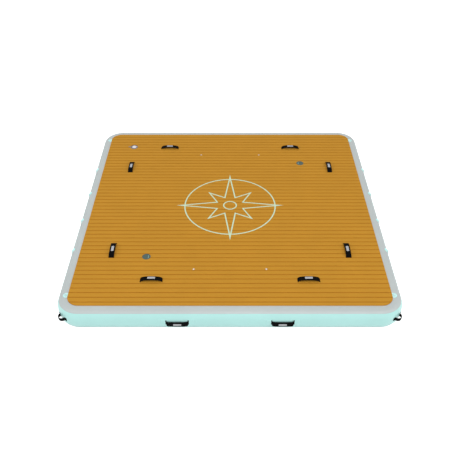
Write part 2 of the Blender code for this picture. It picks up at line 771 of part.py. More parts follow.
def joint_empty(name, matrix):
    """An empty on a joint's axis, which carries the piece that moves."""
    pivot = bpy.data.objects.new(name, None)
    bpy.context.scene.collection.objects.link(pivot)
    pivot.matrix_world = matrix
    return pivot


def build_tie_points():
    """The patches with their loops, and the rings, which hang or lie pointing outboard."""
    ring = ring_curve()
    flat = patch_mesh("flat_patch", lambda u, v, h: (u, v, h))
    for name, x, y, turn in corner_patch_places():
        place = Matrix.Translation((x, y, DECK)) @ Matrix.Rotation(turn, 4, "Z")
        raised = place @ Matrix.Translation((0, 0, PATCH))
        build_tie_point(f"corner_{name}", flat, place, raised, ring, 0.0)

    middle_x, middle_z, normal = patch_frame(PATCH_LAYER + PATCH)

    def on_wall(u, v, h):
        x, z = rim_point(rim_angle_at(PATCH_PLACE + u), PATCH_LAYER + h)
        return x, v, MIDDLE + z

    curved = patch_mesh("curved_patch", on_wall)
    for name, sx, y in side_patch_places():
        turn = Matrix.Rotation(0.0 if sx > 0 else math.pi, 4, "Z")
        place = Matrix.Translation((0, y, 0)) @ turn
        face = Matrix.Translation((middle_x, 0, MIDDLE + middle_z))
        tilt = Matrix.Rotation(math.pi / 2 - normal, 4, "Y")
        build_tie_point(f"side_{name}", curved, place, place @ face @ tilt, ring, hang_angle())


def build_tie_point(name, patch, place, surface, ring, swing):
    """One patch with its loop on a surface frame, and its ring, swung down by an angle."""
    glued = linked(f"ring_patch_{name}", patch, MINT_PVC, SHEET_EDGE)
    glued.matrix_world = place
    tab = helper(f"tab_{name}", tab_mesh())
    tab.matrix_world = surface
    boolean(glued, tab, "UNION")
    hung = Matrix.Translation((0, 0, PIVOT_RISE)) @ Matrix.Rotation(swing, 4, "Y")
    pivot = joint_empty(f"ring_axis_{name}", surface @ hung)
    made = bpy.data.objects.new(f"tie_ring_{name}", ring)
    bpy.context.scene.collection.objects.link(made)
    made.parent = pivot


FLANGE_TOP = DECK + FLANGE


def build_valve():
    """The valve's body, clamped by its nut, with the sprung stem that seals from below."""
    centre = joint_empty("valve_axis", Matrix.Translation((VALVE_X, VALVE_Y, FLANGE_TOP)))
    profile = [
        (LOWER_BORE_RADIUS, -VALVE_LENGTH),
        (LOWER_BORE_RADIUS, -GUIDE_DEPTH - GUIDE),
        (STEM_RADIUS + STEM_CLEARANCE, -GUIDE_DEPTH - GUIDE),
        (STEM_RADIUS + STEM_CLEARANCE, -GUIDE_DEPTH),
        (VALVE_BORE_RADIUS, -GUIDE_DEPTH),
        (VALVE_BORE_RADIUS, 0.0),
        (FLANGE_RADIUS, 0.0),
        (FLANGE_RADIUS, -FLANGE),
        (VALVE_TUBE_RADIUS, -FLANGE),
        (VALVE_TUBE_RADIUS, -VALVE_LENGTH),
    ]
    body = linked("valve_body", turned("valve_body", profile, TURN_STEPS), DARK_PLASTIC, TURNED_EDGE)
    body.parent = centre
    low, high = -GUIDE_DEPTH - GUIDE - CUT_OVERRUN, CUT_OVERRUN - GUIDE_DEPTH
    holes = []
    for x, y in circle(AIR_HOLE_CIRCLE, AIR_HOLE_COUNT):
        holes.append(prism("air_hole", circle(AIR_HOLE_RADIUS, HINGE_STEPS, x, y), low, high))
    air = helper("valve_air_holes", joined("valve_air_holes", *holes))
    air.parent = centre
    boolean(body, air)
    for side in (-1, 1):
        ear = helper(f"valve_ear_{side}", ear_mesh(side * EAR_SPREAD))
        ear.parent = centre
        boolean(body, ear, "UNION")
    bore_rod = hinge_rod(HINGE_PIN_RADIUS + HINGE_CLEARANCE, EAR_SPREAD + EAR_THICKNESS)
    bore = helper("valve_ear_bore", bore_rod)
    bore.parent = centre
    boolean(body, bore)

    seat = -VALVE_LENGTH - GAP
    button_top = -BUTTON_DEPTH
    profile = [
        (0.0, button_top),
        (BUTTON_RADIUS, button_top),
        (BUTTON_RADIUS, button_top - BUTTON),
        (STEM_RADIUS, button_top - BUTTON),
        (STEM_RADIUS, seat),
        (DIAPHRAGM_RADIUS, seat),
        (DIAPHRAGM_RADIUS, seat - DIAPHRAGM),
        (0.0, seat - DIAPHRAGM),
    ]
    stem = linked("valve_stem", turned("valve_stem", profile, INSERT_STEPS), RUBBER, TURNED_EDGE)
    stem.parent = centre
    spring_object(centre, button_top - BUTTON - GAP, GAP - GUIDE_DEPTH)

    fabric_bottom = TOP - SKIN - GAP - SKIN - GAP - FLANGE_TOP
    low, high = fabric_bottom - NUT, fabric_bottom
    nut = linked("valve_nut", prism("valve_nut", circle(NUT_RADIUS, NUT_SIDES), low, high), DARK_PLASTIC)
    nut.parent = centre
    hole = circle(VALVE_TUBE_RADIUS + GAP, TURN_STEPS)
    nut_bore = prism("valve_nut_hole", hole, low - CUT_OVERRUN, high + CUT_OVERRUN)
    nut_hole = helper("valve_nut_hole", nut_bore)
    nut_hole.parent = centre
    boolean(nut, nut_hole)


def spring_object(centre, top, bottom):
    """The return spring, a helix round the stem between the guide and the button."""
    radius = STEM_RADIUS + STEM_CLEARANCE + SPRING_WIRE_RADIUS
    curve = bpy.data.curves.new("valve_spring", "CURVE")
    curve.dimensions = "3D"
    curve.bevel_depth = SPRING_WIRE_RADIUS
    curve.bevel_resolution = 1
    curve.use_fill_caps = True
    spline = curve.splines.new("POLY")
    count = SPRING_TURNS * SPRING_POINTS
    spline.points.add(count)
    low, high = bottom + SPRING_WIRE_RADIUS, top - SPRING_WIRE_RADIUS
    for i, point in enumerate(spline.points):
        angle = math.tau * i / SPRING_POINTS
        height = low + (high - low) * i / count
        point.co = (radius * math.cos(angle), radius * math.sin(angle), height, 1)
    curve.materials.append(STEEL)
    spring = bpy.data.objects.new("valve_spring", curve)
    bpy.context.scene.collection.objects.link(spring)
    spring.parent = centre


HINGE_HEIGHT = GAP + CAP - PULL_THICKNESS
PAD_ABOVE_FLANGE = PAD_TOP - FLANGE_TOP


def hinge_rod(radius, half_length):
    """A rod along Y on the cap's hinge axis, in the valve's frame."""
    rod = prism("hinge_rod", circle(radius, HINGE_STEPS), -half_length, half_length)
    place = Matrix.Translation((HINGE_REACH, 0, HINGE_HEIGHT))
    return moved(rod, place @ Matrix.Rotation(math.pi / 2, 4, "X"))


def ear_mesh(y):
    """One ear of the hinge: a round-topped lug that stands on the flange."""
    radius = HINGE_PIN_RADIUS + HINGE_CLEARANCE + EAR_WALL
    outline = [(-radius, -HINGE_HEIGHT - FLANGE / 2), (radius, -HINGE_HEIGHT - FLANGE / 2)]
    half_turn = stations(0.0, math.pi, HINGE_STEPS // 2)
    outline += [(radius * math.cos(a), radius * math.sin(a)) for a in half_turn]
    lug = prism("ear", outline, -EAR_THICKNESS / 2, EAR_THICKNESS / 2)
    place = Matrix.Translation((HINGE_REACH, y, HINGE_HEIGHT))
    return moved(lug, place @ Matrix.Rotation(math.pi / 2, 4, "X"))


def build_valve_cap():
    """The cap: a disc with a plug below, a pull tab over the pad's edge, and the hinge barrel."""
    axis = (VALVE_X + HINGE_REACH, VALVE_Y, FLANGE_TOP + HINGE_HEIGHT)
    pivot = joint_empty("cap_axis", Matrix.Translation(axis))
    to_pivot = Matrix.Translation((-HINGE_REACH, 0, -HINGE_HEIGHT))
    crown = CAP - PULL_THICKNESS
    profile = [
        (0.0, GAP + CAP),
        (CAP_RADIUS - PULL_THICKNESS, GAP + CAP),
        (CAP_RADIUS, GAP + crown),
        (CAP_RADIUS, GAP),
        (PLUG_RADIUS, GAP),
        (PLUG_RADIUS, GAP - PLUG),
        (0.0, GAP - PLUG),
    ]
    disc = moved(turned("valve_cap", profile, TURN_STEPS), to_pivot)
    cap = linked("valve_cap", disc, PALE_PLASTIC, TURNED_EDGE)
    cap.parent = pivot
    low = PAD_ABOVE_FLANGE + GAP
    start = CAP_RADIUS - 2 * PULL_THICKNESS
    tip = CAP_RADIUS + PULL_LENGTH
    half, tip_half = PULL_WIDTH / 2, PULL_TIP_WIDTH / 2
    one_side = [(-start, half), (half - tip, half), (-tip, tip_half)]
    outline = one_side + [(x, -y) for x, y in reversed(one_side)]
    pull = prism("pull_tab", outline, low, low + PULL_THICKNESS)
    web_half = EAR_SPREAD - EAR_THICKNESS / 2 - SLOT_CLEARANCE
    web_low = HINGE_HEIGHT - HINGE_PIN_RADIUS / 2
    web_high = HINGE_HEIGHT + HINGE_PIN_RADIUS / 2
    web = prism("hinge_web", rectangle(start, HINGE_REACH, -web_half, web_half), web_low, web_high)
    barrel = hinge_rod(HINGE_PIN_RADIUS, EAR_SPREAD + EAR_THICKNESS / 2 + SLOT_CLEARANCE)
    for mesh in (pull, web, barrel):
        added = helper(f"cap_{mesh.name}", moved(mesh, to_pivot))
        added.parent = pivot
        boolean(cap, added, "UNION")


build_drop_stitch_core()
build_skins()
build_side_wall()
build_rail_band("top_rail_band", 1)
build_rail_band("bottom_rail_band", -1)
build_deck_pad()
build_handles()
build_tie_points()
build_cup_mounts()
build_inserts()
build_valve()
build_valve_cap()
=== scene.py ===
"""Looks of the inflatable dock platform, in metres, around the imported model. The front faces -Y.

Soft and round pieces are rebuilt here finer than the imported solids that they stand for: the air
chamber's wall and bands, the grooved foam deck, the straps, the glued patches and the fittings.
"""

import bisect
import json
from collections import namedtuple
from math import asin, atan2, copysign, cos, dist, hypot, pi, radians, sin, sqrt, tau

import bmesh
import bpy
from mathutils import Matrix, Vector


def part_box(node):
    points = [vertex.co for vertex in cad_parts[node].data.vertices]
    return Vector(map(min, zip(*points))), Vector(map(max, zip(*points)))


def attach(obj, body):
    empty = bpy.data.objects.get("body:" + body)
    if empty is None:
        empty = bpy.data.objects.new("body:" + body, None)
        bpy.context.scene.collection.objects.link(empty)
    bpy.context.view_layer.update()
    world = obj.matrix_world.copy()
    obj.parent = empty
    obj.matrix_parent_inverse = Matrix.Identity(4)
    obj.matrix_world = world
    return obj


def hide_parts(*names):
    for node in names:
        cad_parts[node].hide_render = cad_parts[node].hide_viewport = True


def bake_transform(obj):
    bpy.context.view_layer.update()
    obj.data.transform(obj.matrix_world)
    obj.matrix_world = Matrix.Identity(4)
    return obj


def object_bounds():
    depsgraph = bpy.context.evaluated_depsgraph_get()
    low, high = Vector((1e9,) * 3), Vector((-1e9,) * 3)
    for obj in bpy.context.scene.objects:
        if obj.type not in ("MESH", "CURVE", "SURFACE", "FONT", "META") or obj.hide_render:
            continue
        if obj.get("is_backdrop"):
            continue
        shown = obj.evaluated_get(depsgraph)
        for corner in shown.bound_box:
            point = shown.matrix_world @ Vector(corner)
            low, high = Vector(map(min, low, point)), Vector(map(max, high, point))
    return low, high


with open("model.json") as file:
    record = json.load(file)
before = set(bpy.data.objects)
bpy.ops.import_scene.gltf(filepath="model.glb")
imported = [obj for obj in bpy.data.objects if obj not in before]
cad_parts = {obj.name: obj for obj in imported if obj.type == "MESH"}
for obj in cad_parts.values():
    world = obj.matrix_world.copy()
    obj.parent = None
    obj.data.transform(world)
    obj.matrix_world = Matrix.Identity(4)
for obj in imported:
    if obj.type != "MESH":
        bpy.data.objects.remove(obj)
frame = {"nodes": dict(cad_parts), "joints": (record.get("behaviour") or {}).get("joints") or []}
nodes = frame["nodes"]
cad_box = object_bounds()

# The camera, matched to the photograph
CAMERA_PLACE = (0.0, -5.082, 4.0695)
CAMERA_PITCH = 39.54
LENS = 47.8

# The chamber's section
MIDDLE = (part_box("side_wall")[0].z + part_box("side_wall")[1].z) / 2
WALL_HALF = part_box("side_wall")[1].z - MIDDLE
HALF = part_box("side_wall")[1].x
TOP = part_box("top_rail_band")[1].z
SKIN = 0.0012
GAP = 0.0003
WALL_BULGE = 0.056
SQUARENESS = 2.5
BULGE_START = HALF - WALL_BULGE
CORNER_RADIUS = 0.218
CORNER_CENTRE = HALF - CORNER_RADIUS
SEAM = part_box("drop_stitch_core")[1].x
BAND_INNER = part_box("top_skin")[1].x
BAND_DROP = 0.016
RUN_STEP = 0.015
CORNER_STEPS = 22
RIM_STEPS = 30
BAND_STEPS = 12
RIM_SAMPLES = 400

# Small ripples where the wall turns the corners
RIPPLE = 0.0006
RIPPLE_LENGTH = 0.024

# The foam deck
DECK, PAD_TOP = (corner.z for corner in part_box("deck_pad"))
PAD_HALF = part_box("deck_pad")[1].x
PAD_CORNER_RADIUS = 0.113
PAD_CORNER_STEPS = 24
PLANK_PITCH = 0.05733
FIRST_PLANK = 0.04
GROOVE_WIDTH = 0.012
GROOVE_DEPTH = 0.002
GROOVE_FLOOR_SHARE = 0.6
LIP = 0.0007
PAD_EDGE = 0.0016
CUT_OVERRUN = 0.002
CLEARANCE = 0.001

# The emblem: a compass star whose long points cross a ring, in lines of pale foam let into the deck
EMBLEM_RADIUS = 0.47
EMBLEM_LINE = 0.013
EMBLEM_DEPTH = 0.0026
STAR_LONG = 0.56
STAR_SHORT = 0.33
STAR_WAIST = 0.155
STAR_HUB = 0.066
INLAY_SINK = 0.0002

# Straps; the tucks and the sag draw the crown of a wall strap in to the wall and down
Webbing = namedtuple("Webbing", "length rise squareness foot width")
DECK_STRAP = Webbing(0.198, 0.031, 2.6, 0.04, 0.051)
WALL_STRAP = Webbing(0.187, 0.0225, 4.6, 0.04, 0.051)
CORNER_LOOP = Webbing(0.066, 0.035, 2.0, 0.022, 0.036)
HIGH_TUCK = 0.013
LOW_TUCK = 0.005
STRAP_SAG = 0.013
STRAP = 0.002
STRAP_BEND = 0.0015
ARCH_STEPS = 40
STRAP_COLUMNS = 8
FOOT_STEPS = 6
STITCH_PITCH = 0.0045
STITCH_LENGTH = 0.0031
STITCH_RADIUS = 0.00035
STITCH_INSET = 0.0045
LABEL_HALF = (0.035, 0.0125)
LABEL_SHIFT = 0.0065
WALL_LABEL_HALF = (0.035, 0.009)
WALL_LABEL_SHIFT = -0.0052
LABEL = 0.0009
BARE_FOOT = 0.006
COVER_HALF = (0.033, 0.037)
COVER = 0.0009
COVER_SLOPE = 0.009

# Ring patches and rings
PATCH_RADIUS = 0.029
PATCH = 0.0015
PATCH_LAP = 0.027
WIRE_RADIUS = 0.002
RING_HALF_WIDTH = 0.0145
RING_CORNER = 0.003
RING_STEPS = 40
LOOP_WIDTH = 0.016
LOOP_REACH = 0.018
LOOP_LEAD = 0.0012
LOOP_START = 0.04 * pi
LOOP_STEPS = 14
PATCH_LAYER = GAP + SKIN + GAP
PIVOT_RISE = WIRE_RADIUS + GAP

TURN_STEPS = 72


class Look:
    """The nodes of a material or of the world, made by short calls. In a call, _ stands for a space."""

    def __init__(self, owner):
        owner.use_nodes = True
        self.owner = owner
        self.nodes = owner.node_tree.nodes

    def feed(self, node, inputs):
        """Sets or links a node's inputs, given by name or number."""
        for key, value in inputs.items():
            socket = node.inputs[key.replace("_", " ") if isinstance(key, str) else key]
            if isinstance(value, bpy.types.NodeSocket):
                self.owner.node_tree.links.new(value, socket)
            else:
                socket.default_value = (*value, 1.0) if socket.type == "RGBA" else value
        return node

    def node(self, kind, **inputs):
        return self.feed(self.nodes.new(f"ShaderNode{kind}"), inputs)

    def place(self):
        return self.node("TexCoord").outputs["Object"]

    def noise(self, scale, detail=3.0, roughness=0.5, place=None):
        made = self.node("TexNoise", Scale=scale, Detail=detail, Roughness=roughness)
        return self.feed(made, {"Vector": place or self.place()}).outputs["Fac"]

    def math(self, operation, *values):
        made = self.feed(self.nodes.new("ShaderNodeMath"), dict(enumerate(values)))
        made.operation = operation
        return made.outputs["Value"]

    def mix(self, factor, low, high):
        """A colour between two linear RGB colours."""
        made = self.node("Mix", Factor=factor)
        made.data_type = "RGBA"
        colours = [i for i, socket in enumerate(made.inputs) if socket.type == "RGBA"]
        self.feed(made, dict(zip(colours, (low, high))))
        return [socket for socket in made.outputs if socket.type == "RGBA"][0]

    def spread(self, factor, low, high):
        """The factor stretched from low..high to 0..1."""
        return self.node("MapRange", Value=factor, From_Min=low, From_Max=high).outputs["Result"]

    def bump(self, height, distance, **under):
        return self.node("Bump", Strength=1.0, Distance=distance, Height=height, **under).outputs["Normal"]

    def split(self, vector):
        return self.node("SeparateXYZ", Vector=vector).outputs

    def finish(self, **inputs):
        """Sets the main shader's inputs."""
        self.feed(self.nodes["Principled BSDF"], inputs)
        return self.owner


def look_of(name):
    return Look(bpy.data.materials.new(name))


def shade(colour):
    """A colour a little darker, for the low places of a mottled surface."""
    return tuple(0.93 * c for c in colour)


def coated_fabric(name, colour, roughness):
    """Glossy PVC over a woven base: soft mottling, a fine grain and faint scuffs."""
    look = look_of(name)
    cloudy, grain = look.noise(2.6), look.noise(620.0, 2.0, 0.6)
    mottled = look.mix(look.spread(cloudy, 0.35, 0.65), shade(colour), colour)
    rough = look.spread(look.noise(38.0, 5.0, 0.65), -1.0, 2.2)
    return look.finish(
        Base_Color=look.mix(look.spread(grain, 0.3, 0.6), shade(colour), mottled),
        Roughness=look.math("MULTIPLY", rough, 2 * roughness),
        Specular_IOR_Level=0.5,
        Normal=look.bump(grain, 0.00012, Normal=look.bump(cloudy, 0.0012)),
    )


def deck_foam(name, colour, groove):
    """Closed-cell foam: pored and slightly brushed, with painted shade in the grooves and on the pad's
    rounded edges and sides.
    """
    look = look_of(name)
    place = look.place()
    where = look.split(place)
    # Painted shade: the groove floors and the pad's outer edges and sides take the darker groove colour
    groove_shade_mask = look.spread(where["Z"], PAD_TOP - 0.8 * GROOVE_DEPTH, PAD_TOP - LIP / 2)
    side = look.math("MAXIMUM", *[look.math("ABSOLUTE", where[axis]) for axis in ("X", "Y")])
    groove_shade_mask = look.math("MAXIMUM", groove_shade_mask, look.math("GREATER_THAN", side, PAD_HALF - PAD_EDGE))
    cloudy, pores = look.noise(4.0, 4.0), look.noise(900.0, 2.0, 0.7)
    brushed = look.node("Mapping", Vector=place, Scale=(30.0, 420.0, 200.0)).outputs["Vector"]
    streaks = look.noise(1.0, place=brushed)
    top = look.mix(look.spread(cloudy, 0.3, 0.7), shade(colour), colour)
    top = look.mix(look.spread(streaks, 0.25, 0.6), shade(colour), top)
    return look.finish(
        Base_Color=look.mix(groove_shade_mask, groove, top),
        Roughness=0.82,
        Specular_IOR_Level=0.25,
        Normal=look.bump(pores, 0.0002, Normal=look.bump(streaks, 0.0003)),
    )


def fine_grained(name, colour, roughness, clouds, grain, relief):
    """Foam or raw fabric of one colour; clouds and grain are the arguments of two noises."""
    look = look_of(name)
    return look.finish(
        Base_Color=look.mix(look.noise(*clouds), shade(colour), colour),
        Roughness=roughness,
        Normal=look.bump(look.noise(*grain), relief),
    )


HERRINGBONE = 0.0035
RIB_PITCH = 0.0024
CORD_PITCH = 0.0014


def webbing(name, low, high):
    """Herringbone webbing, from each strap's own lengthwise and crosswise distances."""
    look = look_of(name)
    strap = look.node("Attribute")
    strap.attribute_name = "strap"
    where = look.split(strap.outputs["Vector"])
    slant = look.math("PINGPONG", where["Y"], HERRINGBONE)
    run = look.math("ADD", where["X"], slant)
    turns = look.math("MULTIPLY", run, tau / RIB_PITCH), look.math("MULTIPLY", slant, tau / CORD_PITCH)
    ribs, cords = [look.math("SINE", turn) for turn in turns]
    weave = look.math("ADD", look.math("MULTIPLY_ADD", ribs, 0.35, 0.5), look.math("MULTIPLY", cords, 0.12))
    height = look.math("MULTIPLY", weave, look.math("ADD", look.noise(1400.0, 2.0), 0.6))
    return look.finish(
        Base_Color=look.mix(height, low, high),
        Roughness=0.85,
        Specular_IOR_Level=0.04,
        Normal=look.bump(height, 0.0005),
    )


def moulded(name, colour, roughness, metallic=0.0, grain=1500.0, relief=0.00006):
    """Moulded plastic, rubber or metal with a fine grain, light wear and uneven gloss."""
    look = look_of(name)
    worn = look.noise(55.0, 4.0, 0.6)
    return look.finish(
        Base_Color=look.mix(look.spread(worn, 0.3, 0.6), shade(colour), colour),
        Roughness=look.math("MULTIPLY", look.spread(worn, -1.0, 2.0), 2 * roughness),
        Metallic=metallic,
        Normal=look.bump(look.noise(grain, 2.0), relief),
    )


AQUA = coated_fabric("aqua_coated_fabric", (0.478, 0.832, 0.795), 0.34)
GREY = coated_fabric("grey_coated_fabric", (0.515, 0.563, 0.562), 0.48)
MINT = coated_fabric("mint_coated_fabric", (0.575, 0.97, 0.95), 0.42)
# The second colour is painted shade for the grooves and the pad's edges and sides
FOAM = deck_foam("brown_deck_foam", (0.562, 0.266, 0.021), (0.385, 0.15, 0.0045))
INLAY = fine_grained("pale_inlay_foam", (0.61, 0.8, 0.58), 0.8, (9.0,), (900.0, 2.0, 0.7), 0.0002)
STRAPS = webbing("black_strap_weave", (0.001, 0.001, 0.0012), (0.006, 0.006, 0.0064))
LABELS = moulded("pale_label_rubber", (0.43, 0.44, 0.46), 0.55, relief=0.0001)
STEEL = moulded("polished_ring_steel", (0.66, 0.67, 0.665), 0.28, 1.0, 3000.0, 0.00001)
TEAL = moulded("teal_cup_plastic", (0.038, 0.076, 0.06), 0.4)
# A pale mint colour for the painted highlight on each cup disc's dish
PAINTED_HIGHLIGHT = moulded("painted_highlight_arc", (0.27, 0.51, 0.45), 0.4)
PALE = moulded("pale_fitting_plastic", (0.8, 0.76, 0.765), 0.38)
DARK = moulded("grey_valve_plastic", (0.175, 0.19, 0.205), 0.45)
SAND = moulded("sand_insert_plastic", (0.5, 0.275, 0.075), 0.55)
RUBBER = moulded("black_valve_rubber", (0.018, 0.018, 0.019), 0.75)
YARN = fine_grained("white_yarn_fabric", (0.75, 0.75, 0.73), 0.9, (800.0, 2.0), (800.0, 2.0), 0.0003)


def show(name, data):
    """A new object in the scene."""
    obj = bpy.data.objects.new(name, data)
    bpy.context.scene.collection.objects.link(obj)
    return obj


def place_mesh(name, verts, faces, finish, attribute=None):
    """A new object, its faces turned to face out; attribute gives each vertex a vector named strap."""
    mesh = bpy.data.meshes.new(name)
    mesh.from_pydata([tuple(v) for v in verts], [], faces)
    if attribute is not None:
        made = mesh.attributes.new("strap", "FLOAT_VECTOR", "POINT")
        made.data.foreach_set("vector", [c for v in attribute for c in v])
    bm = bmesh.new()
    bm.from_mesh(mesh)
    bmesh.ops.recalc_face_normals(bm, faces=bm.faces)
    bm.to_mesh(mesh)
    bm.free()
    mesh.materials.append(finish)
    return show(name, mesh)


def smooth(obj, degrees=35):
    obj.data.shade_smooth()
    obj.data.set_sharp_from_angle(angle=radians(degrees))
    return obj


def settle(obj, slot, *replaced, body="platform"):
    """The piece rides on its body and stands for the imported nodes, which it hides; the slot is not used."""
    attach(obj, body)
    if replaced:
        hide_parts(*replaced)
    return obj


def apply_modifiers(obj):
    bpy.context.view_layer.update()
    graph = bpy.context.evaluated_depsgraph_get()
    mesh = bpy.data.meshes.new_from_object(obj.evaluated_get(graph))
    obj.modifiers.clear()
    obj.data = mesh


def boolean(obj, cutter, operation="DIFFERENCE"):
    """Cuts or joins with a helper object, which is then deleted."""
    modifier = obj.modifiers.new(cutter.name, "BOOLEAN")
    modifier.operation = operation
    modifier.object = cutter
    modifier.solver = "EXACT"
    apply_modifiers(obj)
    bpy.data.objects.remove(cutter)


def loft(rings, closed=False):
    """(verts, faces) through rings of as many points each; capped unless the rings close on themselves."""
    count = len(rings[0])
    verts = [point for ring in rings for point in ring]
    faces = []
    for i in range(len(rings) if closed else len(rings) - 1):
        after = (i + 1) % len(rings)
        for k in range(count):
            j = (k + 1) % count
            faces.append((i * count + k, i * count + j, after * count + j, after * count + k))
    if not closed:
        faces.append(tuple(range(count)))
        faces.append(tuple(range(len(verts) - count, len(verts))))
    return verts, faces


def pointed(rings):
    """(verts, faces) through rings, the first and last of which have no size and become points."""
    verts, faces = loft(rings[1:-1])
    caps = [faces.pop(), faces.pop()]
    for cap, end in zip(caps, (rings[-1], rings[0])):
        faces += [(len(verts), *side) for side in zip(cap, cap[1:] + cap[:1])]
        verts.append(end[0])
    return verts, faces


def join_shapes(*shapes):
    verts, faces = [], []
    for more, sides in shapes:
        faces += [tuple(len(verts) + i for i in side) for side in sides]
        verts += more
    return verts, faces


def stations(first, last, steps):
    return [first + (last - first) * i / steps for i in range(steps + 1)]


def lengths(path):
    """The way along a path from its start to each of its points."""
    made = [0.0]
    for before, after in zip(path, path[1:]):
        made.append(made[-1] + dist(before, after))
    return made


def look_up(key, keys, values):
    """The value at a key, between the nearest two of a rising list of keys."""
    i = min(max(bisect.bisect(keys, key), 1), len(keys) - 1)
    share = (key - keys[i - 1]) / (keys[i] - keys[i - 1])
    return values[i - 1] + share * (values[i] - values[i - 1])


QUARTERS = ((1, 1), (-1, 1), (-1, -1), (1, -1))


def rounded_rectangle(half_u, half_v, radius, steps, runs=1):
    """The outline of a rectangle with round corners, its sides cut into short runs."""
    reach_u, reach_v = half_u - radius, half_v - radius
    outline = []
    for quarter, (su, sv) in enumerate(QUARTERS):
        for i in range(steps + 1):
            angle = pi / 2 * (quarter + i / steps)
            outline.append((su * reach_u + radius * cos(angle), sv * reach_v + radius * sin(angle)))
        (u, v), (nu, nv) = outline[-1], QUARTERS[(quarter + 1) % 4]
        du, dv = (nu - su) * reach_u / runs, (nv - sv) * reach_v / runs
        outline += [(u + i * du, v + i * dv) for i in range(1, runs)]
    return outline


def circle(radius, steps, x=0.0, y=0.0):
    turns = [tau * i / steps for i in range(steps)]
    return [(x + radius * cos(a), y + radius * sin(a)) for a in turns]


def rectangle(x0, x1, y0, y1):
    return [(x0, y0), (x1, y0), (x1, y1), (x0, y1)]


def prisms(name, finish, *shapes):
    """One object of closed prisms, each given as (outline, low, high)."""
    made = [loft([[(x, y, z) for x, y in outline] for z in (low, high)]) for outline, low, high in shapes]
    return place_mesh(name, *join_shapes(*made), finish)


def turned(name, profile, steps, finish, matrix):
    """A solid of revolution about Z from (radius, height) points, closed at the axis or on itself."""
    rings = [[matrix @ Vector((x, y, z)) for x, y in circle(r, steps)] for r, z in profile]
    shape = pointed(rings) if profile[0][0] == 0 else loft(rings, closed=True)
    return smooth(place_mesh(name, *shape, finish))


def soft_bend(start, corner, end, steps):
    """Points of a soft bend from start to end, drawn towards a corner."""
    shares = stations(0.0, 1.0, steps)
    return [tuple((1 - t) ** 2 * start + 2 * t * (1 - t) * corner + t * t * end) for t in shares]


def rounded_profile(points, radius, steps=3):
    """The same outline with each inner corner replaced by a bend of about this radius."""
    made = [points[0]]
    for ends in zip(points, points[1:], points[2:]):
        before, corner, after = (Vector(point) for point in ends)
        into, out = before - corner, after - corner
        reach = min(radius, into.length / 2, out.length / 2)
        start, end = corner + into.normalized() * reach, corner + out.normalized() * reach
        made += soft_bend(start, corner, end, steps)
    return made + [points[-1]]


def rim_normal(angle):
    c, s = abs(cos(angle)), sin(angle)
    power = 2 - 2 / SQUARENESS
    out, up = WALL_HALF * c**power, copysign(WALL_BULGE * abs(s) ** power, s)
    length = hypot(out, up)
    return out / length, up / length


def rim_point(angle, offset):
    """(distance from the middle, height above the middle) on the wall's superellipse, pushed outwards."""
    c, s = abs(cos(angle)), sin(angle)
    power = 2 / SQUARENESS
    out, up = rim_normal(angle)
    x = BULGE_START + WALL_BULGE * c**power
    z = copysign(WALL_HALF * abs(s) ** power, s)
    return x + offset * out, z + offset * up


BAND_EDGE_ANGLE = asin(((WALL_HALF - BAND_DROP) / WALL_HALF) ** (SQUARENESS / 2))
RIM_ANGLES = stations(pi / 2, 0.0, RIM_SAMPLES)
RIM_LENGTHS = lengths([rim_point(angle, 0.0) for angle in RIM_ANGLES])


def edge_stations():
    """(x, y, direction, share of the corner's turn or None) all round the platform's edge."""
    steps = round(2 * CORNER_CENTRE / RUN_STEP)
    for quarter, (sx, sy) in enumerate(QUARTERS):
        for i in range(CORNER_STEPS + 1):
            share = i / CORNER_STEPS
            yield sx * CORNER_CENTRE, sy * CORNER_CENTRE, pi / 2 * (quarter + share), share
        nx, ny = QUARTERS[(quarter + 1) % 4]
        for i in range(1, steps):
            x = CORNER_CENTRE * (sx + (nx - sx) * i / steps)
            y = CORNER_CENTRE * (sy + (ny - sy) * i / steps)
            yield x, y, pi / 2 * (quarter + 1), None


def ripple(turn_share, rim_angle):
    """How far the wall is pushed out at a corner: ripples that fade to the deck, the middle and the runs."""
    if turn_share is None or rim_angle is None:
        return 0.0
    along = sin(pi * turn_share) ** 0.7
    up = sin(2 * abs(rim_angle)) ** 2
    waves = sin(tau * turn_share * CORNER_RADIUS * pi / 2 / RIPPLE_LENGTH)
    return RIPPLE * along * up * waves


def swept(name, profile, finish, side=1):
    """A closed band round the edge, upside down where side is -1.

    The profile is a loop of (distance, height above the middle, rim angle or None)."""
    rings = []
    for x, y, direction, turn_share in edge_stations():
        c, s = cos(direction), sin(direction)
        ring = []
        for distance, height, rim_angle in profile:
            reach = distance - CORNER_CENTRE + ripple(turn_share, rim_angle)
            ring.append((x + reach * c, y + reach * s, MIDDLE + side * height))
        rings.append(ring)
    return smooth(place_mesh(name, *loft(rings, closed=True), finish), 50)


def build_wall():
    angles = stations(pi / 2, -pi / 2, 2 * RIM_STEPS)
    outer = [(*rim_point(a, 0.0), a) for a in angles]
    inner = [(*rim_point(a, -SKIN), a) for a in reversed(angles)]
    start = SEAM + GAP
    profile = [(start, WALL_HALF, None), *outer, (start, -WALL_HALF, None)]
    profile += [(start, SKIN - WALL_HALF, None), *inner, (start, WALL_HALF - SKIN, None)]
    wall = settle(swept("air_wall", profile, AQUA), "aqua_pvc", "side_wall")


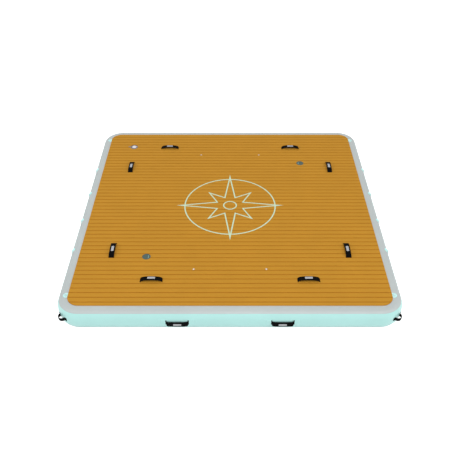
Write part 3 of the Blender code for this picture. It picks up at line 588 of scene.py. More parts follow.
def build_band(name, side, node):
    """The band over one seam, with a rounded lower edge: side is 1 for the top and -1 for the underside."""
    angles = stations(pi / 2, BAND_EDGE_ANGLE, BAND_STEPS)
    outer = [(*rim_point(a, GAP + SKIN), a) for a in angles]
    edge_x, edge_z = rim_point(BAND_EDGE_ANGLE, GAP + SKIN / 2)
    out, up = rim_normal(BAND_EDGE_ANGLE)
    edge = []
    for turn in stations(pi / 2, -pi / 2, 6)[1:-1]:
        forward, sideways = SKIN / 2 * cos(turn), SKIN / 2 * sin(turn)
        point = edge_x + forward * up + sideways * out, edge_z - forward * out + sideways * up
        edge.append((*point, BAND_EDGE_ANGLE))
    inner = [(*rim_point(a, GAP), a) for a in reversed(angles)]
    start = BAND_INNER + GAP
    profile = [(start, WALL_HALF + GAP + SKIN, None), *outer, *edge, *inner, (start, WALL_HALF + GAP, None)]
    settle(swept(name, profile, GREY, side), "grey_pvc", node)


def build_bottom_sheet():
    outline = rounded_rectangle(BAND_INNER, BAND_INNER, BAND_INNER - CORNER_CENTRE, CORNER_STEPS)
    settle(prisms("bottom_sheet", GREY, (outline, 0.0, SKIN)), "grey_pvc", "bottom_skin")


SIDES = (("left", -1), ("right", 1))
ENDS = (("front", -1), ("back", 1))
CORNERS = [(f"{end}_{side}", sx, sy) for end, sy in ENDS for side, sx in SIDES]


def middle_of(node):
    low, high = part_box(node)
    return (low + high) / 2


def radius_of(node):
    low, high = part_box(node)
    return (high.y - low.y) / 2


def deck_handle_places():
    """(name, x, y, turn) of the eight straps that rise through the deck."""
    for name, *_ in CORNERS:
        for kind, turn in (("deck_handle", 0.0), ("side_handle", pi / 2)):
            at = middle_of(f"{kind}_{name}")
            yield f"{kind}_{name}", at.x, at.y, turn


def placed(outline, x, y, turn):
    c, s = cos(turn), sin(turn)
    return [(x + u * c - v * s, y + u * s + v * c) for u, v in outline]


def groove_profile():
    """(y, z) points across the deck: flat planks with rounded lips over shallow grooves."""
    mouth, floor = GROOVE_WIDTH / 2, GROOVE_WIDTH * GROOVE_FLOOR_SHARE / 2
    reach = PAD_HALF + CUT_OVERRUN
    half = [(-mouth - 2 * LIP, 0), (-mouth, 0), (-floor, -GROOVE_DEPTH)]
    groove = rounded_profile(half + [(-v, z) for v, z in reversed(half)], LIP)
    points = [(-reach, DECK), (-reach, PAD_TOP)]
    y = FIRST_PLANK - PAD_HALF
    while y < PAD_HALF - GROOVE_WIDTH:
        points += [(y + v, PAD_TOP + z) for v, z in groove]
        y += PLANK_PITCH
    return points + [(reach, PAD_TOP), (reach, DECK)]


def deck_cuts():
    """Slots and pockets for the straps, and the holes for the valve, cups and inserts."""
    half = DECK_STRAP.length / 2
    across = DECK_STRAP.width / 2 + CLEARANCE
    pocket_top = TOP + GAP + STRAP + GAP
    foot_end = half + STRAP_BEND + STRAP / 2 + DECK_STRAP.foot + CLEARANCE
    slot_in, slot_out = half - STRAP - 2 * CLEARANCE, half + STRAP_BEND + 2 * CLEARANCE
    low, high = DECK - CUT_OVERRUN, PAD_TOP + CUT_OVERRUN
    pockets, slots = [], []
    for name, x, y, turn in deck_handle_places():
        for end in (-1, 1):
            pocket = placed(rectangle(end * slot_in, end * foot_end, -across, across), x, y, turn)
            pockets.append((pocket, low, pocket_top))
            slot = placed(rectangle(end * slot_in, end * slot_out, -across, across), x, y, turn)
            slots.append((slot, pocket_top - GAP, high))
    rounds = [(n, radius_of(n), high) for n in nodes if n.startswith(("accessory_insert", "cup_mount"))]
    rounds.append(("valve_nut", FLANGE_RADIUS, high))
    rounds += [(f"ring_patch_corner_{name}", PATCH_RADIUS, DECK + PATCH + GAP) for name, *_ in CORNERS]
    holes = [(circle(r + CLEARANCE, TURN_STEPS, *middle_of(n).xy), low, top) for n, r, top in rounds]
    return pockets, slots, holes


def star_outline(inset):
    """The eight-pointed star, moved inwards by the inset on every side."""
    tips = []
    for i in range(16):
        radius = (STAR_LONG, STAR_WAIST, STAR_SHORT, STAR_WAIST)[i % 4]
        angle = pi / 2 + tau * i / 16
        tips.append(Vector((radius * cos(angle), radius * sin(angle))))
    moved = []
    for i, tip in enumerate(tips):
        before, after = tips[i - 1], tips[(i + 1) % 16]
        d1, d2 = (tip - before).normalized(), (after - tip).normalized()
        n1, n2 = Vector((-d1.y, d1.x)), Vector((-d2.y, d2.x))
        moved.append(tip + (n1 + n2) * inset / (1 + n1.dot(n2)))
    return [tuple(p) for p in moved]


def emblem_lines(margin):
    """(outside, inside) outlines of the star, the ring and the hub; margin makes them narrower."""
    line = EMBLEM_LINE - 2 * margin
    made = [(star_outline(margin), star_outline(margin + line))]
    for radius in (EMBLEM_RADIUS, STAR_HUB):
        made.append((circle(radius + line / 2, 2 * TURN_STEPS), circle(radius - line / 2, 2 * TURN_STEPS)))
    return made


def closed_line(name, outside, inside, low, high, finish):
    """A flat closed line between two outlines, from one height to another."""
    corners = ((outside, low), (outside, high), (inside, high), (inside, low))
    return place_mesh(name, *loft([[(x, y, z) for x, y in loop] for loop, z in corners], closed=True), finish)


def build_deck():
    """The foam deck: planks and grooves, trimmed by a round-edged outline, cut out and inlaid."""
    profile = groove_profile()
    reach = PAD_HALF + CUT_OVERRUN
    deck = place_mesh("foam_deck", *loft([[(x, y, z) for y, z in profile] for x in (-reach, reach)]), FOAM)
    edge = []
    for turn in stations(0.0, pi / 2, 4):
        edge.append((PAD_EDGE * (1 - cos(turn)), PAD_TOP - PAD_EDGE + PAD_EDGE * sin(turn)))
    outlines = []
    for inset, height in [(0.0, DECK - CUT_OVERRUN), *edge, (PAD_EDGE, PAD_TOP + CUT_OVERRUN)]:
        half, radius = PAD_HALF - inset, PAD_CORNER_RADIUS - inset
        square = rounded_rectangle(half, half, radius, PAD_CORNER_STEPS)
        outlines.append([(x, y, height) for x, y in square])
    boolean(deck, place_mesh("deck_trim", *loft(outlines), FOAM), "INTERSECT")
    for name, shapes in zip(("pockets", "slots", "holes"), deck_cuts()):
        boolean(deck, prisms(name, FOAM, *shapes))
    channel = PAD_TOP - EMBLEM_DEPTH
    for i, loops in enumerate(emblem_lines(0.0)):
        boolean(deck, closed_line(f"channel_{i}", *loops, channel - i * GAP / 3, PAD_TOP + CUT_OVERRUN, FOAM))
    settle(deck, "deck_foam", "deck_pad")
    heights = channel + GAP / 2, PAD_TOP - INLAY_SINK
    star, *rounds = emblem_lines(GAP / 2)
    inlay = closed_line("emblem_inlay", *star, *heights, INLAY)
    for loops in rounds:
        boolean(inlay, closed_line("emblem_round", *loops, *heights, INLAY), "UNION")
    settle(inlay, "deck_foam")


def handle_path(webbing):
    """Centre line of a strap as (along, out) points: foot, bend, arch, bend, foot."""
    half = (webbing.length - STRAP) / 2
    bend = STRAP_BEND + STRAP / 2
    low = GAP + STRAP / 2
    points = [(-half - bend - webbing.foot * (1 - i / FOOT_STEPS), low) for i in range(FOOT_STEPS + 1)]
    for turn in stations(0.0, pi / 2, 4)[1:-1]:
        points.append((-half - bend + bend * sin(turn), low + bend - bend * cos(turn)))
    side = len(points)
    power = 2 / webbing.squareness
    rise = webbing.rise - STRAP / 2 - low - bend
    for angle in stations(0.0, pi, ARCH_STEPS):
        along = copysign(abs(cos(angle)) ** power, -cos(angle))
        points.append((half * along, low + bend + rise * sin(angle) ** power))
    return points + [(-x, z) for x, z in reversed(points[:side])]


def directions(path):
    """The unit direction of a path of (along, out) points at each of its points."""
    last = len(path) - 1
    ends = [(path[max(i - 1, 0)], path[min(i + 1, last)]) for i in range(last + 1)]
    return [(Vector(after) - Vector(before)).normalized() for before, after in ends]


def strap_section(width, thickness):
    """(across, out) points round a strap's section, with rounded edges."""
    half, radius = width / 2, thickness / 2
    flat = half - radius
    upper = [(v, radius) for v in stations(-flat, flat, STRAP_COLUMNS)]
    right = [(flat + radius * sin(a), radius * cos(a)) for a in stations(0.0, pi, 4)[1:-1]]
    return upper + right + [(-v, -w) for v, w in upper] + [(-v, -w) for v, w in right]


def strap_shape(path, place, width, thickness):
    """(verts, faces, lengthwise places) of a strap along a path, placed by (along, across, out)."""
    section = strap_section(width, thickness)
    rings, runs = [], []
    for (x, z), direction, run in zip(path, directions(path), lengths(path)):
        rings.append([place(x - w * direction.y, v, z + w * direction.x) for v, w in section])
        runs += [(run, v, w) for v, w in section]
    return (*loft(rings), runs)


STITCH_SPINDLE = ((-1.0, 0.0), (-0.8, 0.75), (0.0, 1.0), (0.8, 0.75), (1.0, 0.0))


def stitches(path, place, foot, across, lift):
    """(verts, faces) of a row of small six-sided threads along the arch of a path."""
    points, runs, ways = [Vector(point) for point in path], lengths(path), directions(path)
    threads = []
    at = foot + STITCH_PITCH
    while at < runs[-1] - foot - STITCH_PITCH:
        centre, way = look_up(at, runs, points), look_up(at, runs, ways).normalized()
        rings = []
        for step, swell in STITCH_SPINDLE:
            along, ring = step * STITCH_LENGTH / 2, []
            for side, out in circle(STITCH_RADIUS * swell, 6):
                u = centre.x + along * way.x - (lift + out) * way.y
                w = centre.y + along * way.y + (lift + out) * way.x
                ring.append(place(u, across + side, w))
            rings.append(ring)
        threads.append(pointed(rings))
        at += STITCH_PITCH
    return join_shapes(*threads)


def concentric(outline, place, height, base, insets):
    """(verts, faces) of a thin closed piece on a surface: rings of the outline, shrunk to its middle.

    place takes (u, v, out); height and base give how far out the upper and lower faces are, the upper
    one from (u, v, inset), the lower one from (u, v). insets are distances from the edge."""
    reach = max(hypot(u, v) for u, v in outline)
    rings = []
    for inset in insets:
        share = 1 - inset / reach
        loop = [(share * u, share * v) for u, v in outline]
        rings.insert(0, [place(u, v, base(u, v)) for u, v in loop])
        rings.append([place(u, v, height(u, v, inset)) for u, v in loop])
    return loft(rings)


def edge_height(thickness, inset, softness):
    """The height of a sheet at a distance from its edge, where it is rounded over."""
    t = min(inset / softness, 1.0)
    return thickness * (0.35 + 0.65 * sqrt(1 - (1 - t) ** 2))


SHEET_STEPS = 6
LABEL_CORNER = 0.004
LABEL_RUNS = 8
PRESSED_INSET = 0.0034
PRESSED_LINE = 0.00035
LABEL_INSETS = (0.0, 0.0002, 0.0005, 0.0009, 0.003, PRESSED_INSET, 0.0038, 0.012, 0.022, 0.034)


def label_shape(webbing, place, shift, size):
    """(verts, faces) of the bare label on the outer face of an arch, with a pressed line round it."""
    half = (webbing.length - STRAP) / 2
    power = webbing.squareness

    def on_strap(u, v, out):
        drop = (webbing.rise - HANDLE_BASE) * (1 - (1 - abs(u / half) ** power) ** (1 / power))
        return place(u, v + shift, webbing.rise - drop + out)

    def height(u, v, inset):
        return edge_height(LABEL, inset, LABEL) - (PRESSED_LINE if inset == PRESSED_INSET else 0.0)

    outline = rounded_rectangle(*size, LABEL_CORNER, SHEET_STEPS, LABEL_RUNS)
    return concentric(outline, on_strap, height, lambda u, v: GAP / 6, LABEL_INSETS)


HANDLE_BASE = GAP + STRAP / 2 + STRAP_BEND + STRAP / 2


def build_handle(name, webbing, place, label_shift=None, label_half=LABEL_HALF):
    """A strap with its edge stitching, and its label where it has one."""
    path = handle_path(webbing)
    verts, faces, runs = strap_shape(path, place, webbing.width, STRAP)
    lift, seam = STRAP / 2 + STITCH_RADIUS / 3, webbing.width / 2 - STITCH_INSET
    rows = [stitches(path, place, webbing.foot, side * seam, lift) for side in (-1, 1)]
    verts, faces = join_shapes((verts, faces), *rows)
    runs += [(0.0, 0.0, 0.0)] * (len(verts) - len(runs))
    strap = place_mesh(f"strap_{name}", verts, faces, STRAPS, runs)
    settle(smooth(strap, 60), "black_webbing", name)
    if label_shift is not None:
        tag = place_mesh(f"label_{name}", *label_shape(webbing, place, label_shift, label_half), LABELS)
        settle(smooth(tag, 40), "pale_plastic")


COVER_SOFTNESS = 0.0008
COVER_CORNER = 0.01
COVER_RUNS = 14
COVER_INSETS = (0.0, 0.0003, 0.0008, 0.004, 0.008, 0.012, 0.016, 0.02, 0.024, 0.028, 0.034, 0.04, 0.046)


def build_covers(name, webbing, place):
    """The welded sheets over a wall strap's two feet, raised where the foot lies under them."""
    half = (webbing.length - STRAP) / 2 + STRAP_BEND + STRAP / 2
    foot_middle = half + webbing.foot / 2
    cover_middle = half + BARE_FOOT + COVER_HALF[0]
    foot = webbing.foot / 2 + CLEARANCE, webbing.width / 2 + CLEARANCE
    lift = GAP + STRAP + GAP
    shapes = []
    for end in (-1, 1):

        def raised(u, v):
            along = abs(u + end * (cover_middle - foot_middle)) - foot[0] if end * u >= 0 else 0.0
            apart = hypot(max(along, 0.0), max(abs(v) - foot[1], 0.0))
            t = min(apart / COVER_SLOPE, 1.0)
            return GAP / 3 + lift * (1 - t * t * (3 - 2 * t))

        def on_wall(u, v, out):
            return place(end * cover_middle + u, v, out)

        def height(u, v, inset):
            return raised(u, v) + edge_height(COVER, inset, COVER_SOFTNESS)

        outline = rounded_rectangle(*COVER_HALF, COVER_CORNER, SHEET_STEPS, COVER_RUNS)
        shapes.append(concentric(outline, on_wall, height, raised, COVER_INSETS))
    covers = place_mesh(f"foot_covers_{name}", *join_shapes(*shapes), AQUA)
    settle(smooth(covers, 40), "aqua_pvc")


def wall_distance(height):
    """How far out the wall is at this height above its middle."""
    share = min(abs(height) / WALL_HALF, 1.0)
    return BULGE_START + WALL_BULGE * (1 - share**SQUARENESS) ** (1 / SQUARENESS)


def build_handles():
    for name, x, y, turn in deck_handle_places():

        def on_deck(u, v, out):
            return (*placed([(u, v)], x, y, turn)[0], TOP + out)

        build_handle(name, DECK_STRAP, on_deck, LABEL_SHIFT * cos(turn))
    for name, sx, sy in CORNERS:
        wall_name, corner_name = f"wall_handle_{name}", f"corner_handle_{name}"
        at, loop_height = middle_of(wall_name), middle_of(corner_name).z

        def on_wall(u, v, out):
            """The strap's crown lies closer to the wall than a full arch and hangs below its feet."""
            foot, crown = 2 * GAP + STRAP + COVER, WALL_STRAP.rise - STRAP
            free = min(max((out - foot) / (crown - foot), 0.0), 1.0)
            up = 0.5 + v / WALL_STRAP.width
            tuck = LOW_TUCK * (1 - up) + HIGH_TUCK * up
            height = at.z + v - STRAP_SAG * free
            return (at.x + u, sy * (wall_distance(height - MIDDLE) + out - tuck * free), height)

        def on_corner(u, v, out):
            angle, height = atan2(sy, sx) + u / CORNER_RADIUS, loop_height + v
            reach = wall_distance(height - MIDDLE) - CORNER_CENTRE + out
            return (sx * CORNER_CENTRE + reach * cos(angle), sy * CORNER_CENTRE + reach * sin(angle), height)

        build_handle(wall_name, WALL_STRAP, on_wall, WALL_LABEL_SHIFT, WALL_LABEL_HALF)
        build_covers(wall_name, WALL_STRAP, on_wall)
        build_handle(corner_name, CORNER_LOOP, on_corner)


def loop_path():
    """(along, out) centre line of the loop that holds a ring's bar, above the patch."""
    rest = SKIN / 2 + GAP / 3
    radius = PIVOT_RISE + GAP + SKIN / 2
    path = [(-LOOP_REACH, rest), (-LOOP_REACH / 2 - radius / 2, rest), (-radius - LOOP_LEAD, rest)]
    for angle in stations(pi - LOOP_START, LOOP_START, LOOP_STEPS):
        path.append((radius * cos(angle), PIVOT_RISE + radius * sin(angle)))
    return path + [(-x, z) for x, z in reversed(path[:3])]


def ring_points():
    """(x, y) points round a ring: its bar on the Y axis and a half round towards +X."""
    corner = asin(RING_CORNER / RING_HALF_WIDTH)
    straight = RING_HALF_WIDTH - RING_CORNER
    points = [(0.0, y) for y in stations(straight, -straight, 6)]
    arc_start = Vector((RING_HALF_WIDTH * sin(corner), -RING_HALF_WIDTH * cos(corner)))
    bar_end, knee = Vector((0.0, -straight)), Vector((0.0, -RING_HALF_WIDTH + RING_CORNER / 6))
    bend = soft_bend(bar_end, knee, arc_start, 5)[1:-1]
    points += bend
    for angle in stations(corner - pi / 2, pi / 2 - corner, RING_STEPS):
        points.append((RING_HALF_WIDTH * cos(angle), RING_HALF_WIDTH * sin(angle)))
    return points + [(x, -y) for x, y in reversed(bend)]


def build_ring(body, pivot, side, sag):
    """A ring on its bar, towards its side of the platform and sagged by an angle."""
    turn = Matrix.Rotation(0.0 if side > 0 else pi, 4, "Z") @ Matrix.Rotation(sag, 4, "Y")
    matrix = Matrix.Translation(pivot) @ turn
    name = body.replace("tie", "steel")
    curve = bpy.data.curves.new(name, "CURVE")
    curve.dimensions = "3D"
    curve.bevel_depth = WIRE_RADIUS
    curve.bevel_resolution = 6
    spline = curve.splines.new("POLY")
    points = ring_points()
    spline.points.add(len(points) - 1)
    for point, (x, y) in zip(spline.points, points):
        point.co = (*(matrix @ Vector((x, y, 0.0))), 1.0)
    spline.use_cyclic_u = True
    spline.use_smooth = True
    curve.materials.append(STEEL)
    settle(show(name, curve), "polished_steel", body, body=body)


PATCH_INSETS = (0.0, 0.0003, 0.0008, 0.0015, 0.005, 0.01, 0.015, 0.02, 0.025, 0.0285)


def build_tie_point(name, place):
    """The glued disc with its loop on a surface, given by (outboard, across, out)."""

    def height(u, v, inset):
        return edge_height(PATCH, inset, PATCH)

    disc = concentric(circle(PATCH_RADIUS, TURN_STEPS), place, height, lambda u, v: 0.0, PATCH_INSETS)

    def above(u, v, out):
        return place(u, v, PATCH + out)

    loop = strap_shape(loop_path(), above, LOOP_WIDTH, SKIN)[:2]
    patch = place_mesh(f"patch_{name}", *join_shapes(disc, loop), MINT)
    settle(smooth(patch, 45), "mint_pvc", f"ring_patch_{name}")


def build_tie_points():
    joints = {joint["child"]: joint for joint in frame["joints"]}
    for name, sx, _ in CORNERS:
        body = f"tie_ring_corner_{name}"
        pivot = Vector(joints[body]["pos_m"])

        def on_deck(u, v, out):
            return (pivot.x + sx * u, pivot.y + v, DECK + out)

        build_tie_point(f"corner_{name}", on_deck)
        build_ring(body, pivot, sx, 0.0)
    band_width = look_up(-BAND_EDGE_ANGLE, [-angle for angle in RIM_ANGLES], RIM_LENGTHS)
    patch_place = band_width + PATCH_RADIUS - PATCH_LAP
    for side, sx in SIDES:
        for i in range(4):
            body = f"tie_ring_side_{side}_{i + 1}"
            pivot = Vector(joints[body]["pos_m"])

            def on_wall(u, v, out):
                x, z = rim_point(look_up(patch_place + u, RIM_LENGTHS, RIM_ANGLES), PATCH_LAYER + out)
                return (sx * x, pivot.y + v, MIDDLE + z)

            build_tie_point(f"side_{side}_{i + 1}", on_wall)
            sag = asin((pivot.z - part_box(body)[0].z - WIRE_RADIUS) / RING_HALF_WIDTH)
            build_ring(body, pivot, sx, sag)


# Sizes of the cup discs and of the pale crescent on each, which is a painted highlight
CUP_RIM = 0.006
CUP_DISH = 0.0012
CUP_ROUNDING = 0.0008
ARC_RADIUS = 0.05
ARC_OFFSET = 0.03
ARC_WIDTH = 0.0052
ARC_RISE = 0.0004
ARC_SPAN = radians(56)
ARC_TAPER = 0.6
ARC_TIP = 0.0002


def build_cups():
    """The dished discs, each with a raised pale arc on its inboard side, a painted highlight of the dish's
    glossy rim.
    """
    for name, turn in (("front_left", 0.0), ("back_right", pi)):
        node = f"cup_mount_{name}"
        low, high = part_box(node)
        at, radius = middle_of(node), radius_of(node)
        height, dish = high.z - low.z, high.z - low.z - CUP_DISH
        magnet = radius_of(f"magnet_{name}") + GAP
        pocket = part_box(f"magnet_{name}")[1].z - low.z + GAP
        inner = radius - CUP_RIM
        profile = [(0.0, dish), (inner - CUP_RIM / 2, dish), (inner, height), (radius, height)]
        profile += [(radius, 0.0), (magnet, 0.0), (magnet, pocket), (0.0, pocket)]
        matrix = Matrix.Translation((at.x, at.y, low.z))
        cup = turned(f"cup_disc_{name}", rounded_profile(profile, CUP_ROUNDING), TURN_STEPS, TEAL, matrix)
        settle(cup, "teal_plastic", node)
        build_painted_highlight(f"cup_painted_highlight_{name}", at, low.z + dish, turn)


def build_painted_highlight(name, at, floor, turn):
    """A raised pale crescent, thickest at its middle, on the floor of a cup disc: a painted highlight of the
    dish's glossy rim.
    """
    rings = []
    for share in stations(0.0, 1.0, 24):
        angle = turn - ARC_SPAN / 2 + ARC_SPAN * share
        half = max(ARC_WIDTH / 2 * sin(pi * share) ** ARC_TAPER, ARC_TIP)
        bevel = min(ARC_RISE, half / 2)
        section = [(-half, -GAP / 6), (-half, ARC_RISE - bevel), (bevel - half, ARC_RISE)]
        section += [(-across, up) for across, up in reversed(section)]
        ring = []
        for across, up in section:
            reach = ARC_RADIUS + across
            x = at.x - ARC_OFFSET * cos(turn) + reach * cos(angle)
            ring.append((x, at.y + reach * sin(angle), floor + up))
        rings.append(ring)
    settle(smooth(place_mesh(name, *loft(rings), PAINTED_HIGHLIGHT), 30), "mint_pvc")


INSERT_HOLE_RADIUS = 0.0025
INSERT_FLOOR = 0.0012
BUSH_RADIUS = 0.0062
BUSH_SINK = 0.0005
FLANGE_ROUNDING = 0.0006
THREAD_PITCH = 0.001
INSERT_STEPS = 48


def build_inserts():
    """The deck-coloured flanges round steel bushes with a threaded hole."""
    for name, *_ in CORNERS:
        node = f"accessory_insert_{name}"
        low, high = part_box(node)
        at, radius, height = middle_of(node), (high.x - low.x) / 2, high.z - low.z
        sunk = height - BUSH_SINK
        matrix = Matrix.Translation((at.x, at.y, low.z))
        profile = [(0.0, INSERT_FLOOR), (BUSH_RADIUS, INSERT_FLOOR), (BUSH_RADIUS, height), (radius, height)]
        profile += [(radius, 0.0), (0.0, 0.0)]
        profile = rounded_profile(profile, FLANGE_ROUNDING)
        settle(turned(f"insert_flange_{name}", profile, INSERT_STEPS, SAND, matrix), "pale_plastic", node)
        crest, root = INSERT_HOLE_RADIUS, INSERT_HOLE_RADIUS + THREAD_PITCH / 2
        thread = [(crest, INSERT_FLOOR + GAP)]
        while thread[-1][1] < sunk - THREAD_PITCH:
            z = thread[-1][1]
            thread += [(root, z + THREAD_PITCH / 2), (crest, z + THREAD_PITCH)]
        outer = BUSH_RADIUS - GAP / 3
        profile = thread + [(root, sunk), (outer, sunk), (outer, INSERT_FLOOR + GAP)]
        settle(turned(f"insert_bush_{name}", profile, INSERT_STEPS, STEEL, matrix), "polished_steel")


# The valve's own sizes; heights are measured from its flange top
VALVE_AT = middle_of("valve_nut")
FLANGE = 0.003
FLANGE_TOP = DECK + FLANGE
FLANGE_RADIUS = 0.0435
FLANGE_BEVEL = 0.0012
VALVE_BORE_RADIUS = 0.014
VALVE_TUBE_RADIUS = 0.019
VALVE_LENGTH = 0.034
GUIDE_DEPTH = 0.02
GUIDE = 0.003
LOWER_BORE_RADIUS = 0.0105
STEM_BORE_RADIUS = 0.0028
AIR_HOLE_RADIUS = 0.003
AIR_HOLE_CIRCLE = 0.0072
HINGE_REACH = 0.033
HINGE_HEIGHT = 0.0033
PIN_RADIUS = 0.0015
PIN_BORE_RADIUS = 0.0018
EAR_RADIUS = 0.0034
EAR_THICKNESS = 0.003
EAR_SPREAD = 0.009
CAP_RADIUS = 0.024
CAP = 0.005
CAP_BEVEL = 0.002
CAP_ROUNDING = 0.0007
DIMPLE = 0.0009
DIMPLE_SHARE = 0.55
RAISED_SHARE = 0.62
PLUG_RADIUS = 0.013
PLUG = 0.0018
PULL_LENGTH = 0.0445
PULL_WIDTH = 0.015
PULL_TIP_WIDTH = 0.007
PULL = 0.002
SPRING_WIRE_RADIUS = 0.0004
SPRING_TURNS = 4
SPRING_POINTS = 24
VALVE_FRAME = Matrix.Translation((VALVE_AT.x, VALVE_AT.y, FLANGE_TOP))


def across_rod(name, outline, half_length, finish, y=0.0):
    """A prism of an (x, z) outline along Y, on the axis of the cap's hinge."""
    x, z = VALVE_AT.x + HINGE_REACH, FLANGE_TOP + HINGE_HEIGHT
    ends = [VALVE_AT.y + y + way * half_length for way in (-1, 1)]
    return place_mesh(name, *loft([[(x + u, end, z + w) for u, w in outline] for end in ends]), finish)


def build_valve_body():
    low, high = -GUIDE_DEPTH - GUIDE, -GUIDE_DEPTH
    profile = [(LOWER_BORE_RADIUS, -VALVE_LENGTH), (LOWER_BORE_RADIUS, low), (STEM_BORE_RADIUS, low)]
    profile += [(STEM_BORE_RADIUS, high), (VALVE_BORE_RADIUS, high), (VALVE_BORE_RADIUS, 0.0)]
    profile += [(FLANGE_RADIUS - FLANGE_BEVEL, 0.0), (FLANGE_RADIUS, -FLANGE_BEVEL), (FLANGE_RADIUS, -FLANGE)]
    profile += [(VALVE_TUBE_RADIUS, -FLANGE), (VALVE_TUBE_RADIUS, -VALVE_LENGTH)]
    body = turned("valve_flange", profile, TURN_STEPS, DARK, VALVE_FRAME)
    heights = FLANGE_TOP + low - CUT_OVERRUN, FLANGE_TOP + high + CUT_OVERRUN
    holes = [circle(AIR_HOLE_RADIUS, 24, *at) for at in circle(AIR_HOLE_CIRCLE, 4, *VALVE_AT.xy)]
    boolean(body, prisms("air_holes", DARK, *[(hole, *heights) for hole in holes]))
    ear = [(-EAR_RADIUS, -HINGE_HEIGHT - FLANGE / 2), (EAR_RADIUS, -HINGE_HEIGHT - FLANGE / 2)]
    ear += [(EAR_RADIUS * cos(a), EAR_RADIUS * sin(a)) for a in stations(0.0, pi, 16)]
    for side in (-1, 1):
        boolean(body, across_rod("ear", ear, EAR_THICKNESS / 2, DARK, side * EAR_SPREAD), "UNION")
    boolean(body, across_rod("pin_bore", circle(PIN_BORE_RADIUS, 32), EAR_SPREAD + EAR_THICKNESS, DARK))
    settle(smooth(body, 30), "dark_grey_plastic", "valve_body")


def build_valve_cap():
    """The cap with its rim, finger dimple, pull tab and hinge barrel, shown closed."""
    bottom, top = GAP, GAP + CAP
    dimple, raised = CAP_RADIUS * DIMPLE_SHARE, CAP_RADIUS * RAISED_SHARE
    profile = [(0.0, top - DIMPLE), (dimple, top - DIMPLE), (raised, top), (CAP_RADIUS - CAP_BEVEL, top)]
    profile += [(CAP_RADIUS, top - CAP_BEVEL), (CAP_RADIUS, bottom), (PLUG_RADIUS, bottom)]
    profile += [(PLUG_RADIUS, bottom - PLUG), (0.0, bottom - PLUG)]
    cap = turned("valve_lid", rounded_profile(profile, CAP_ROUNDING), TURN_STEPS, PALE, VALVE_FRAME)
    low = PAD_TOP - FLANGE_TOP + GAP
    start, tip = CAP_RADIUS - 2 * PULL, CAP_RADIUS + PULL_LENGTH
    side = [(-start, PULL_WIDTH / 2), (PULL_WIDTH / 2 - tip, PULL_WIDTH / 2), (-tip, PULL_TIP_WIDTH / 2)]
    outline = rounded_profile(side + [(x, -y) for x, y in reversed(side)], PULL, 4)
    outline = placed(outline, *VALVE_AT.xy, 0.0)
    pull = prisms("valve_pull", DARK, (outline, FLANGE_TOP + low, FLANGE_TOP + low + PULL))
    bevel = pull.modifiers.new("edge", "BEVEL")
    bevel.width, bevel.segments = PULL / 4, 3
    apply_modifiers(pull)
    settle(smooth(pull, 30), "dark_grey_plastic", body="valve_cap")
    web_half = EAR_SPREAD - EAR_THICKNESS / 2 - CLEARANCE
    web = placed(rectangle(start, HINGE_REACH, -web_half, web_half), *VALVE_AT.xy, 0.0)
    hinge = FLANGE_TOP + HINGE_HEIGHT
    boolean(cap, prisms("web", PALE, (web, hinge - PIN_RADIUS / 2, hinge + PIN_RADIUS / 2)), "UNION")
    barrel = across_rod("barrel", circle(PIN_RADIUS, 32), EAR_SPREAD + EAR_THICKNESS / 2 + CLEARANCE, PALE)
    boolean(cap, barrel, "UNION")
    settle(smooth(cap, 30), "pale_plastic", "valve_cap", body="valve_cap")


def build_spring():
    """The return spring."""
    low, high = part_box("valve_spring")
    radius = (high.x - low.x) / 2 - SPRING_WIRE_RADIUS
    count = SPRING_TURNS * SPRING_POINTS
    rings = []
    for i, height in enumerate(stations(low.z + SPRING_WIRE_RADIUS, high.z - SPRING_WIRE_RADIUS, count)):
        angle = tau * i / SPRING_POINTS
        out = Vector((cos(angle), sin(angle), 0.0))
        centre = Vector((VALVE_AT.x, VALVE_AT.y, height)) + radius * out
        rings.append([centre + u * out + Vector((0.0, 0.0, v)) for u, v in circle(SPRING_WIRE_RADIUS, 8)])
    spring = smooth(place_mesh("return_spring", *loft(rings), STEEL))
    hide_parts("valve_spring")
    foot, head = (Vector((VALVE_AT.x, VALVE_AT.y, z)) for z in (low.z, high.z))
    tuple(foot)
    tuple(head)
    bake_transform(spring)


def dress_hidden_nodes():
    """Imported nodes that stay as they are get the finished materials."""
    finishes = {"drop_stitch_core": YARN, "top_skin": GREY, "valve_nut": DARK, "valve_stem": RUBBER}
    finishes |= {"magnet_front_left": STEEL, "magnet_back_right": STEEL}
    for name, finish in finishes.items():
        nodes[name].data.materials.clear()
        nodes[name].data.materials.append(finish)


FLOOR_SIZE = 60.0
FLOOR_WHITE = 0.74
FLOOR_LIFT = 0.7
WORLD_LIGHT = 0.45


def seen_directly(look):
    """1 for what the camera sees, also in glossy or clear pieces, and 0 for what lights the object."""
    path = look.node("LightPath").outputs
    seen = look.math("MAXIMUM", path["Is Camera Ray"], path["Is Glossy Ray"])
    return look.math("MAXIMUM", seen, path["Is Transmission Ray"])


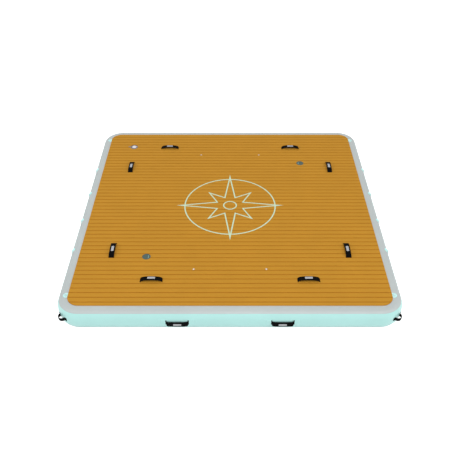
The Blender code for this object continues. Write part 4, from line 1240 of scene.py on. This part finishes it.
def build_floor():
    """A pale floor: plain to the lamps, lifted to white for the camera, clear from below."""
    look = look_of("pale_floor")
    look.nodes.remove(look.nodes["Principled BSDF"])
    both = look.node("AddShader")
    matt = look.node("BsdfDiffuse", Color=(FLOOR_WHITE,) * 3).outputs["BSDF"]
    lift = look.node("Emission", Strength=look.math("MULTIPLY", seen_directly(look), FLOOR_LIFT))
    look.feed(both, {0: matt, 1: lift.outputs["Emission"]})
    choose = look.node("MixShader", Fac=look.node("NewGeometry").outputs["Backfacing"])
    look.feed(choose, {1: both.outputs["Shader"], 2: look.node("BsdfTransparent").outputs["BSDF"]})
    look.feed(look.nodes["Material Output"], {"Surface": choose.outputs["Shader"]})
    half = FLOOR_SIZE / 2
    mesh = bpy.data.meshes.new("floor")
    mesh.from_pydata([(x, y, -GAP) for x, y in rectangle(-half, half, -half, half)], [], [(0, 1, 2, 3)])
    mesh.materials.append(look.owner)
    show("floor", mesh)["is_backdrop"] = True


def build_world():
    """White to the camera, plain soft light to everything else."""
    world = bpy.data.worlds.new("studio")
    bpy.context.scene.world = world
    look = Look(world)
    share = look.math("MULTIPLY", seen_directly(look), 1.0 - WORLD_LIGHT)
    strength = look.math("ADD", share, WORLD_LIGHT)
    look.feed(look.nodes["Background"], {"Color": (1.0, 1.0, 1.0), "Strength": strength})


def add_lamp(name, place, size, power):
    """A square soft lamp that points at the platform's middle."""
    light = bpy.data.lights.new(name, "AREA")
    light.shape = "SQUARE"
    light.size = size
    light.energy = power
    lamp = show(name, light)
    lamp.location = place
    lamp.rotation_euler = (-Vector(place)).to_track_quat("-Z", "Y").to_euler()


def build_camera():
    data = bpy.data.cameras.new("camera")
    data.lens = LENS
    data.sensor_width = 36.0
    data.clip_end = 200.0
    camera = show("camera", data)
    camera.location = CAMERA_PLACE
    camera.rotation_euler = (radians(90 - CAMERA_PITCH), 0.0, 0.0)
    bpy.context.scene.camera = camera


build_camera()
build_world()
build_floor()
add_lamp("key", (-0.8, 4.4, 8.4), 6.0, 110.0)
add_lamp("front", (2.2, -14.8, 16.2), 9.6, 1950.0)
add_lamp("left", (-6.8, -3.0, 4.4), 4.0, 120.0)
add_lamp("right", (6.8, -3.0, 4.4), 4.0, 112.0)
bpy.context.scene.view_settings.view_transform = "Standard"

build_wall()
build_band("band_top", 1, "top_rail_band")
build_band("band_bottom", -1, "bottom_rail_band")
build_bottom_sheet()
build_deck()
build_handles()
build_tie_points()
build_cups()
build_inserts()
build_valve_body()
build_valve_cap()
build_spring()
dress_hidden_nodes()

visual_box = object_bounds()
[[list(corner) for corner in box] for box in (cad_box, visual_box)]
